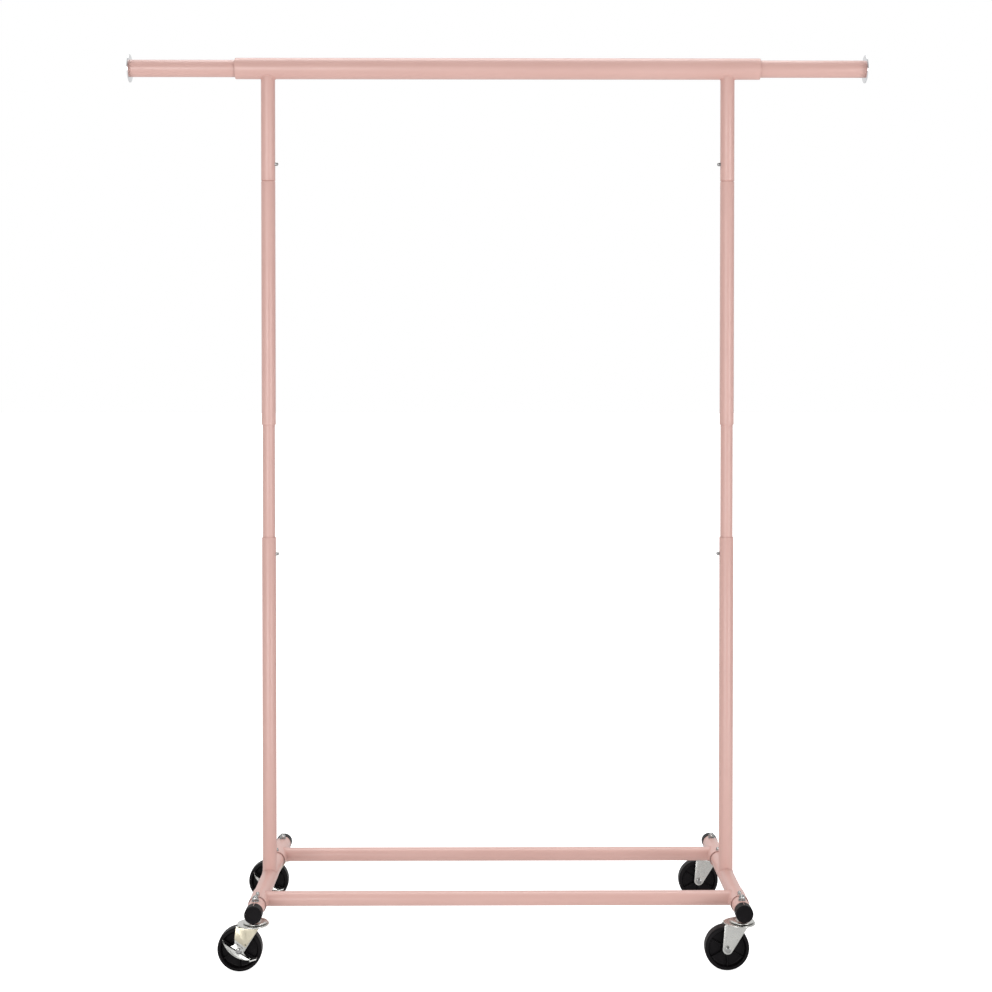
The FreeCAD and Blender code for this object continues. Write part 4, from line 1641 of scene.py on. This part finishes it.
        self.shop.fit(thing, ZINC, node)

    def axle_bolt(self) -> None:
        """A bolt from the front with a nut behind. Under a brake its head is a low rivet."""
        node = self.name + "_axle"
        low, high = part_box(node)
        front = self.centre.y - low.y
        back = high.y - self.centre.y
        braked = self.side is Side.LEFT
        head = 2.0 * MM if braked else 4.0 * MM
        tip, chamfer = 1.5 * MM, 0.6 * MM
        nut = 5.0 * MM
        outline = [
            (0.0, -back),
            (self.axle - chamfer, -back),
            (self.axle, -back + chamfer),
            (self.axle, front - head),
            (0.0, front - head),
        ]
        shell = turned(outline, 40)
        if braked:
            rivet = [
                (0.0, 0.0),
                (5.5 * MM, 0.0),
                (5.2 * MM, 0.9 * MM),
                (3.6 * MM, 1.7 * MM),
                (1.6 * MM, 2.0 * MM),
                (1.2 * MM, 1.5 * MM),
                (0.0, 1.4 * MM),
            ]
            lifted = [(radius, height + front - head) for radius, height in rivet]
            shell = shell + turned(softened(lifted, 0.5 * MM, 3, 12.0), 48)
            hexes = Shell()
        else:
            hexes = slab(hexagon(self.flats, 10.0), front - head, front)
        hexes = hexes + slab(hexagon(self.flats, 25.0), -back + tip, -back + tip + nut)
        bolt = new_object(self.name + "_axle_bolt", (shell + hexes).moved(self.facing))
        self.shop.fit(bevelled(bolt, 0.4 * MM, 45.0), BUTTON_STEEL, node, crease=40.0)

    def brake_lever(self) -> None:
        """A leaf-shaped lever with a turned-out lower lip and a foot tab."""
        node = self.name + "_brake_lever"
        low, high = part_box(node)
        inner = self.centre.y - high.y
        thick = 1.8 * MM
        heel, toe = Vector((-27.5 * MM, 19.0 * MM)), Vector((22.0 * MM, -15.5 * MM))
        lower = bulge(heel, toe, 46.0 * MM, 16)
        upper = bulge(toe, heel, 66.0 * MM, 16)
        leaf = self.plate_piece(node + "_leaf", lower[:-1] + upper[:-1], inner, inner + thick)
        hollows = [((-15.0 * MM, 20.5 * MM), 12.0 * MM), ((24.0 * MM, 3.5 * MM), 17.0 * MM)]
        for (x, y), radius in hollows:
            place = self.facing @ Matrix.Translation((x, y, inner - thick))
            drilled(leaf, [(place, radius, 3 * thick)], TURN_STEPS)
        inset = bulge(heel, toe, 50.5 * MM, 16)
        lip_outline = lower + list(reversed(inset))[1:-1]
        lip_front = inner + thick + 1.6 * MM
        lip = self.plate_piece(node + "_lip", lip_outline, inner + 0.4 * MM, lip_front)
        start, end, down, rise = 19.0 * MM, 31.0 * MM, -15.5 * MM, 3.5 * MM
        over = 2.0 * MM
        tab_corners = [
            (start, down),
            (end, down + rise),
            (end, down + rise + over),
            (start, down + over),
        ]
        depth = self.centre.y - low.y
        tab = self.plate_piece(node + "_tab", softened(tab_corners, 0.8 * MM), inner, depth)
        thing = bevelled(merged([leaf, lip, tab]), 0.35 * MM, 40.0)
        self.shop.fit(thing, ZINC, node, crease=35.0)

    def brake_plate(self) -> None:
        """The creased spring plate over the lever, folded back to the leg along its top."""
        node = self.name + "_brake_plate"
        low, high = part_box(node)
        top = high.z - self.centre.z
        outer = self.centre.y - low.y
        plate = 1.2 * MM
        fold = 5.0 * MM
        crease_x = 12.4 * MM
        left, right = -5.0 * MM, 35.0 * MM
        point_x, point_y = 11.8 * MM, 6.0 * MM
        slope = (right - point_x) / (top - point_y)
        outline = [
            (-7.0 * MM, 20.5 * MM),
            (point_x, point_y),
            (right, top),
            (crease_x, top),
            (left, top),
        ]
        face_outline = softened(outline, 1.2 * MM, 3)
        face = self.plate_piece(node + "_face", face_outline, outer - plate, outer)
        back = [
            (left, top - fold),
            (right - fold * slope, top - fold),
            (right - 0.3 * MM, top),
            (left, top),
        ]
        leg_face = self.centre.y - high.y
        hem = self.plate_piece(node + "_hem", back, leg_face, outer - 0.2 * MM)
        thing = bevelled(merged([face, hem]), 0.4 * MM, 30.0)
        crease_top, crease_end = top - 6.0 * MM, top - 17.0 * MM
        groove = [
            (crease_x - 0.5 * MM, crease_top),
            (crease_x - 0.4 * MM, crease_end),
            (crease_x + 0.4 * MM, crease_end),
            (crease_x + 0.5 * MM, crease_top),
        ]
        carved(thing, self.plate_piece(node + "_groove", groove, outer - 0.8 * MM, outer + MM))
        hole = self.facing @ Matrix.Translation((11.4 * MM, 11.2 * MM, outer - 3.0 * MM))
        drilled(thing, [(hole, 1.3 * MM, 6.0 * MM)])
        self.shop.fit(thing, YELLOW_ZINC, node, crease=35.0)


def bulge(start: Vector, end: Vector, radius: float, steps: int) -> list[Point2]:
    """Points along an arc that turns anticlockwise.

    Args:
        start: where the arc starts.
        end: where it ends.
        radius: its radius, in metres.
        steps: how many straight steps it gets.

    Returns:
        The arc's points, with both ends.
    """
    chord = end - start
    height = math.sqrt(radius**2 - (chord.length / 2) ** 2)
    centre = (start + end) / 2 + Vector((-chord.y, chord.x)).normalized() * height
    first = math.degrees(math.atan2(start.y - centre.y, start.x - centre.x))
    last = math.degrees(math.atan2(end.y - centre.y, end.x - centre.x))
    return arc((centre.x, centre.y), radius, first, last if last > first else last + 360.0, steps)


@dataclass
class Stems:
    """What holds the casters to the rails: turned stems, washers and dome nuts."""

    shop: Workshop
    crown_gap: float = 0.3 * MM
    dish: float = 21.0 * MM
    nut_flats: float = 10.0 * MM
    balls: int = 12
    ball: float = 1.6 * MM
    race: float = 15.0 * MM

    def stands(self) -> list[Vector]:
        """Where each stem's axis is, on the floor.

        Returns:
            One point for each stem, row by row from the left.
        """
        spots = []
        for row in Row:
            for side in Side:
                wheel = centre_of(f"{row.word}_{side.word}_caster_wheel")
                spots.append(Vector((centre_of(f"{side.word}_foot_rail").x, wheel.y, 0.0)))
        return spots

    def build(self) -> None:
        """Makes the stems, washers, nuts and bearing balls, each kind as one piece."""
        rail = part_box("left_foot_rail")
        stem_low, stem_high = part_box("caster_stems")
        crown_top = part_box("front_left_caster_fork")[1].z
        dish_low = crown_top + 0.6 * MM
        dish_top = dish_low + 3.6 * MM
        stem = [
            (0.0, stem_low.z),
            (7.0 * MM, stem_low.z),
            (8.0 * MM, stem_low.z + 1.2 * MM),
            (8.0 * MM, stem_low.z + 2.8 * MM),
            (6.0 * MM, stem_low.z + 2.8 * MM),
            (6.0 * MM, dish_low),
            (self.dish - 1.0 * MM, dish_low),
            (self.dish, dish_low + 0.8 * MM),
            (self.dish, dish_top - 1.6 * MM),
            (self.dish - 1.2 * MM, dish_top - 0.7 * MM),
            (self.dish - 5.5 * MM, dish_top),
            (self.dish - 7.5 * MM, dish_top - 0.8 * MM),
            (10.5 * MM, dish_top - 0.4 * MM),
            (9.0 * MM, rail[0].z),
            (3.0 * MM, rail[0].z),
            (3.0 * MM, stem_high.z),
            (0.0, stem_high.z),
        ]
        washer_low, washer_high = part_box("caster_stem_washers")
        washer = [
            (3.3 * MM, washer_low.z),
            (6.5 * MM, washer_low.z),
            (6.5 * MM, washer_high.z),
            (3.3 * MM, washer_high.z),
        ]
        nut_low, nut_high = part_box("caster_stem_nuts")
        flat = self.nut_flats / 2
        shoulder = nut_low.z + 5.0 * MM
        inside = nut_low.z + 0.4 * MM
        dome = [
            (0.0, inside),
            (flat * 0.9, inside),
            (flat * 0.92, shoulder),
            (flat * 0.86, shoulder + 1.4 * MM),
            (flat * 0.62, nut_high.z - 0.8 * MM),
            (flat * 0.3, nut_high.z - 0.15 * MM),
            (0.0, nut_high.z),
        ]
        stems, washers, nuts, domes = Shell(), Shell(), Shell(), Shell()
        for n, spot in enumerate(self.stands()):
            place = Matrix.Translation(spot)
            stems = stems + turned(softened(stem, 0.7 * MM, 3, 14.0)).moved(place)
            washers = washers + turned(softened(washer, 0.3 * MM), 48).moved(place)
            nuts = nuts + slab(hexagon(self.nut_flats, 11.0 * n), nut_low.z, shoulder).moved(place)
            domes = domes + turned(softened(dome, 1.0 * MM, 4, 10.0), 48).moved(place)
        self.shop.fit(new_object("stem_turnings", stems), ZINC, "caster_stems", crease=40.0)
        # painted shadow: the washers take the darker button steel so they show as the shadow line under each
        # dome nut
        self.shop.fit(new_object("stem_washers", washers), BUTTON_STEEL, "caster_stem_washers")
        hexes = bevelled(new_object("dome_nuts", nuts), 0.5 * MM, 45.0)
        whole = merged([hexes, new_object("nut_domes", domes)])
        self.shop.fit(whole, BUTTON_STEEL, "caster_stem_nuts", crease=35.0)
        self.bearing_balls(crown_top + self.crown_gap)

    def bearing_balls(self, height: float) -> None:
        """Rings of balls between the stems' dishes and the forks' crowns.

        Args:
            height: the height of the balls' centres.
        """
        steps = 10
        angles = [math.pi * k / steps for k in range(steps + 1)]
        outline = [(self.ball * math.sin(a), -self.ball * math.cos(a)) for a in angles]
        outline[0], outline[-1] = (0.0, -self.ball), (0.0, self.ball)
        everything = Shell()
        for spot in self.stands():
            first = spot + Vector((self.race, 0.0, height))
            carrier = turned(outline, 16).moved(Matrix.Translation(first))
            centre = Vector((spot.x, spot.y, height))
            ball = new_object("ball_ring", carrier)
            ring = self.shop.ring(ball, self.balls, centre, Axis.UP, CHROME)
            points = [v.co.copy() for v in ring.data.vertices]
            everything = everything + Shell(points, [tuple(f.vertices) for f in ring.data.polygons])
            bpy.data.objects.remove(ring)
        self.shop.fit(new_object("bearing_balls", everything), CHROME, "caster_ball_bearings")


# ---------------------------------------------------------------- studio


@dataclass(frozen=True)
class Softbox:
    """A square area light that looks at a point of the rack."""

    name: str
    place: tuple[float, float, float]
    target: tuple[float, float, float]
    size: float
    power: float

    def build(self) -> None:
        """Adds the light to the scene."""
        data = bpy.data.lights.new(self.name, "AREA")
        data.shape = "SQUARE"
        data.size = self.size
        data.energy = self.power
        lamp = bpy.data.objects.new(self.name, data)
        lamp.location = self.place
        lamp.rotation_mode = "QUATERNION"
        lamp.rotation_quaternion = (Vector(self.target) - Vector(self.place)).to_track_quat("-Z", "Y")
        bpy.context.scene.collection.objects.link(lamp)


@dataclass
class Studio:
    """Floor, sky, soft lights and the camera."""

    camera_place: tuple[float, float, float] = (-0.0246, -3.1069, 1.0181)
    tilt: float = 1.002
    heading: float = 0.389
    lens: float = 62.22
    shift: float = -0.094
    floor_reach: float = 40.0
    sky: float = 1.0
    bright_side: tuple[float, float, float] = (-0.15, 0.72, 0.68)
    sky_greys: tuple[tuple[float, float], ...] = (
        (0.0, 0.08),
        (0.30, 0.18),
        (0.50, 0.40),
        (0.72, 0.70),
        (1.0, 0.85),
    )

    def build(self) -> None:
        """Sets up everything that isn't the rack."""
        self.floor()
        self.world()
        self.lights()
        self.camera()
        bpy.context.scene.view_settings.view_transform = "Standard"

    def floor(self) -> None:
        """A wide flat sweep at the wheels' lowest point."""
        reach = self.floor_reach
        around = ((-reach, -reach), (reach, -reach), (reach, reach), (-reach, reach))
        corners = [Vector((x, y, 0.0)) for x, y in around]
        sweep = new_object("studio_sweep", Shell(corners, [(0, 1, 2, 3)]))
        sweep.data.materials.append(StudioFloor().material())
        sweep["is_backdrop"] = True

    def world(self) -> None:
        """White to the camera, and for mirrored rays bright behind the rack and dim in front."""
        world = bpy.data.worlds.new("studio_sky")
        bpy.context.scene.world = world
        world.use_nodes = True
        sheet = NodeTools(world.node_tree)
        sheet.tree.nodes.clear()
        output = sheet.add("ShaderNodeOutputWorld")
        seen = sheet.add("ShaderNodeBackground", {"Color": WHITE, "Strength": self.sky})
        glow = sheet.add("ShaderNodeBackground", {"Strength": self.sky})
        ramp = sheet.add("ShaderNodeValToRGB")
        while len(ramp.color_ramp.elements) < len(self.sky_greys):
            ramp.color_ramp.elements.new(0.5)
        for element, (at, grey) in zip(ramp.color_ramp.elements, self.sky_greys):
            element.position = at
            element.color = (grey, grey, grey, 1.0)
        heading = sheet.add("ShaderNodeTexCoord")
        bright = {1: Vector(self.bright_side).normalized()}
        towards = sheet.add("ShaderNodeVectorMath", bright, operation="DOT_PRODUCT")
        half = sheet.add("ShaderNodeMath", {1: 0.5, 2: 0.5}, operation="MULTIPLY_ADD")
        sheet.join(heading, "Generated", towards, 0)
        sheet.join(towards, "Value", half, 0)
        sheet.join(half, 0, ramp, "Fac")
        sheet.join(ramp, "Color", glow, "Color")
        rays = sheet.add("ShaderNodeLightPath")
        choose = sheet.add("ShaderNodeMixShader")
        sheet.join(rays, "Is Camera Ray", choose, 0)
        sheet.join(glow, 0, choose, 1)
        sheet.join(seen, 0, choose, 2)
        sheet.join(choose, 0, output, "Surface")

    def lights(self) -> None:
        """A large key and a fill, low in front to the left and right, and a top light."""
        aim = (0.0, 0.0, 0.4)
        Softbox("key_light", (-1.7, -4.4, 0.8), aim, 2.4, 92.0).build()
        Softbox("fill_light", (2.9, -3.2, 0.6), aim, 2.0, 62.0).build()
        Softbox("top_light", (0.0, 1.6, 6.0), (0.0, 0.0, 0.1), 3.6, 130.0).build()

    def camera(self) -> None:
        """A long lens a little above the rack's middle, tipped slightly down."""
        data = bpy.data.cameras.new("studio_camera")
        data.lens = self.lens
        data.sensor_width = 36.0
        data.shift_y = self.shift
        data.clip_end = 200.0
        camera = bpy.data.objects.new("studio_camera", data)
        camera.location = self.camera_place
        camera.rotation_euler = (math.radians(90.0 - self.tilt), 0.0, math.radians(-self.heading))
        bpy.context.scene.collection.objects.link(camera)
        bpy.context.scene.camera = camera


def main() -> list[list[float]]:
    """Builds the whole rack round the frame.

    Returns:
        The CAD model's lowest and highest corner.
    """
    logging.basicConfig(level=logging.INFO, format="%(message)s")
    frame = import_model()
    cad_box = [list(corner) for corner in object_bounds()]
    shop = Workshop(frame)
    HangingBar(shop).build()
    Posts(shop).build()
    Base(shop).build()
    for row in Row:
        for side in Side:
            Caster(shop, row, side).build()
    Stems(shop).build()
    LeafSprings(shop).build()
    shop.dress_the_rest()
    Studio().build()
    return cad_box


if __name__ == "__main__":
    CAD_BOX = main()
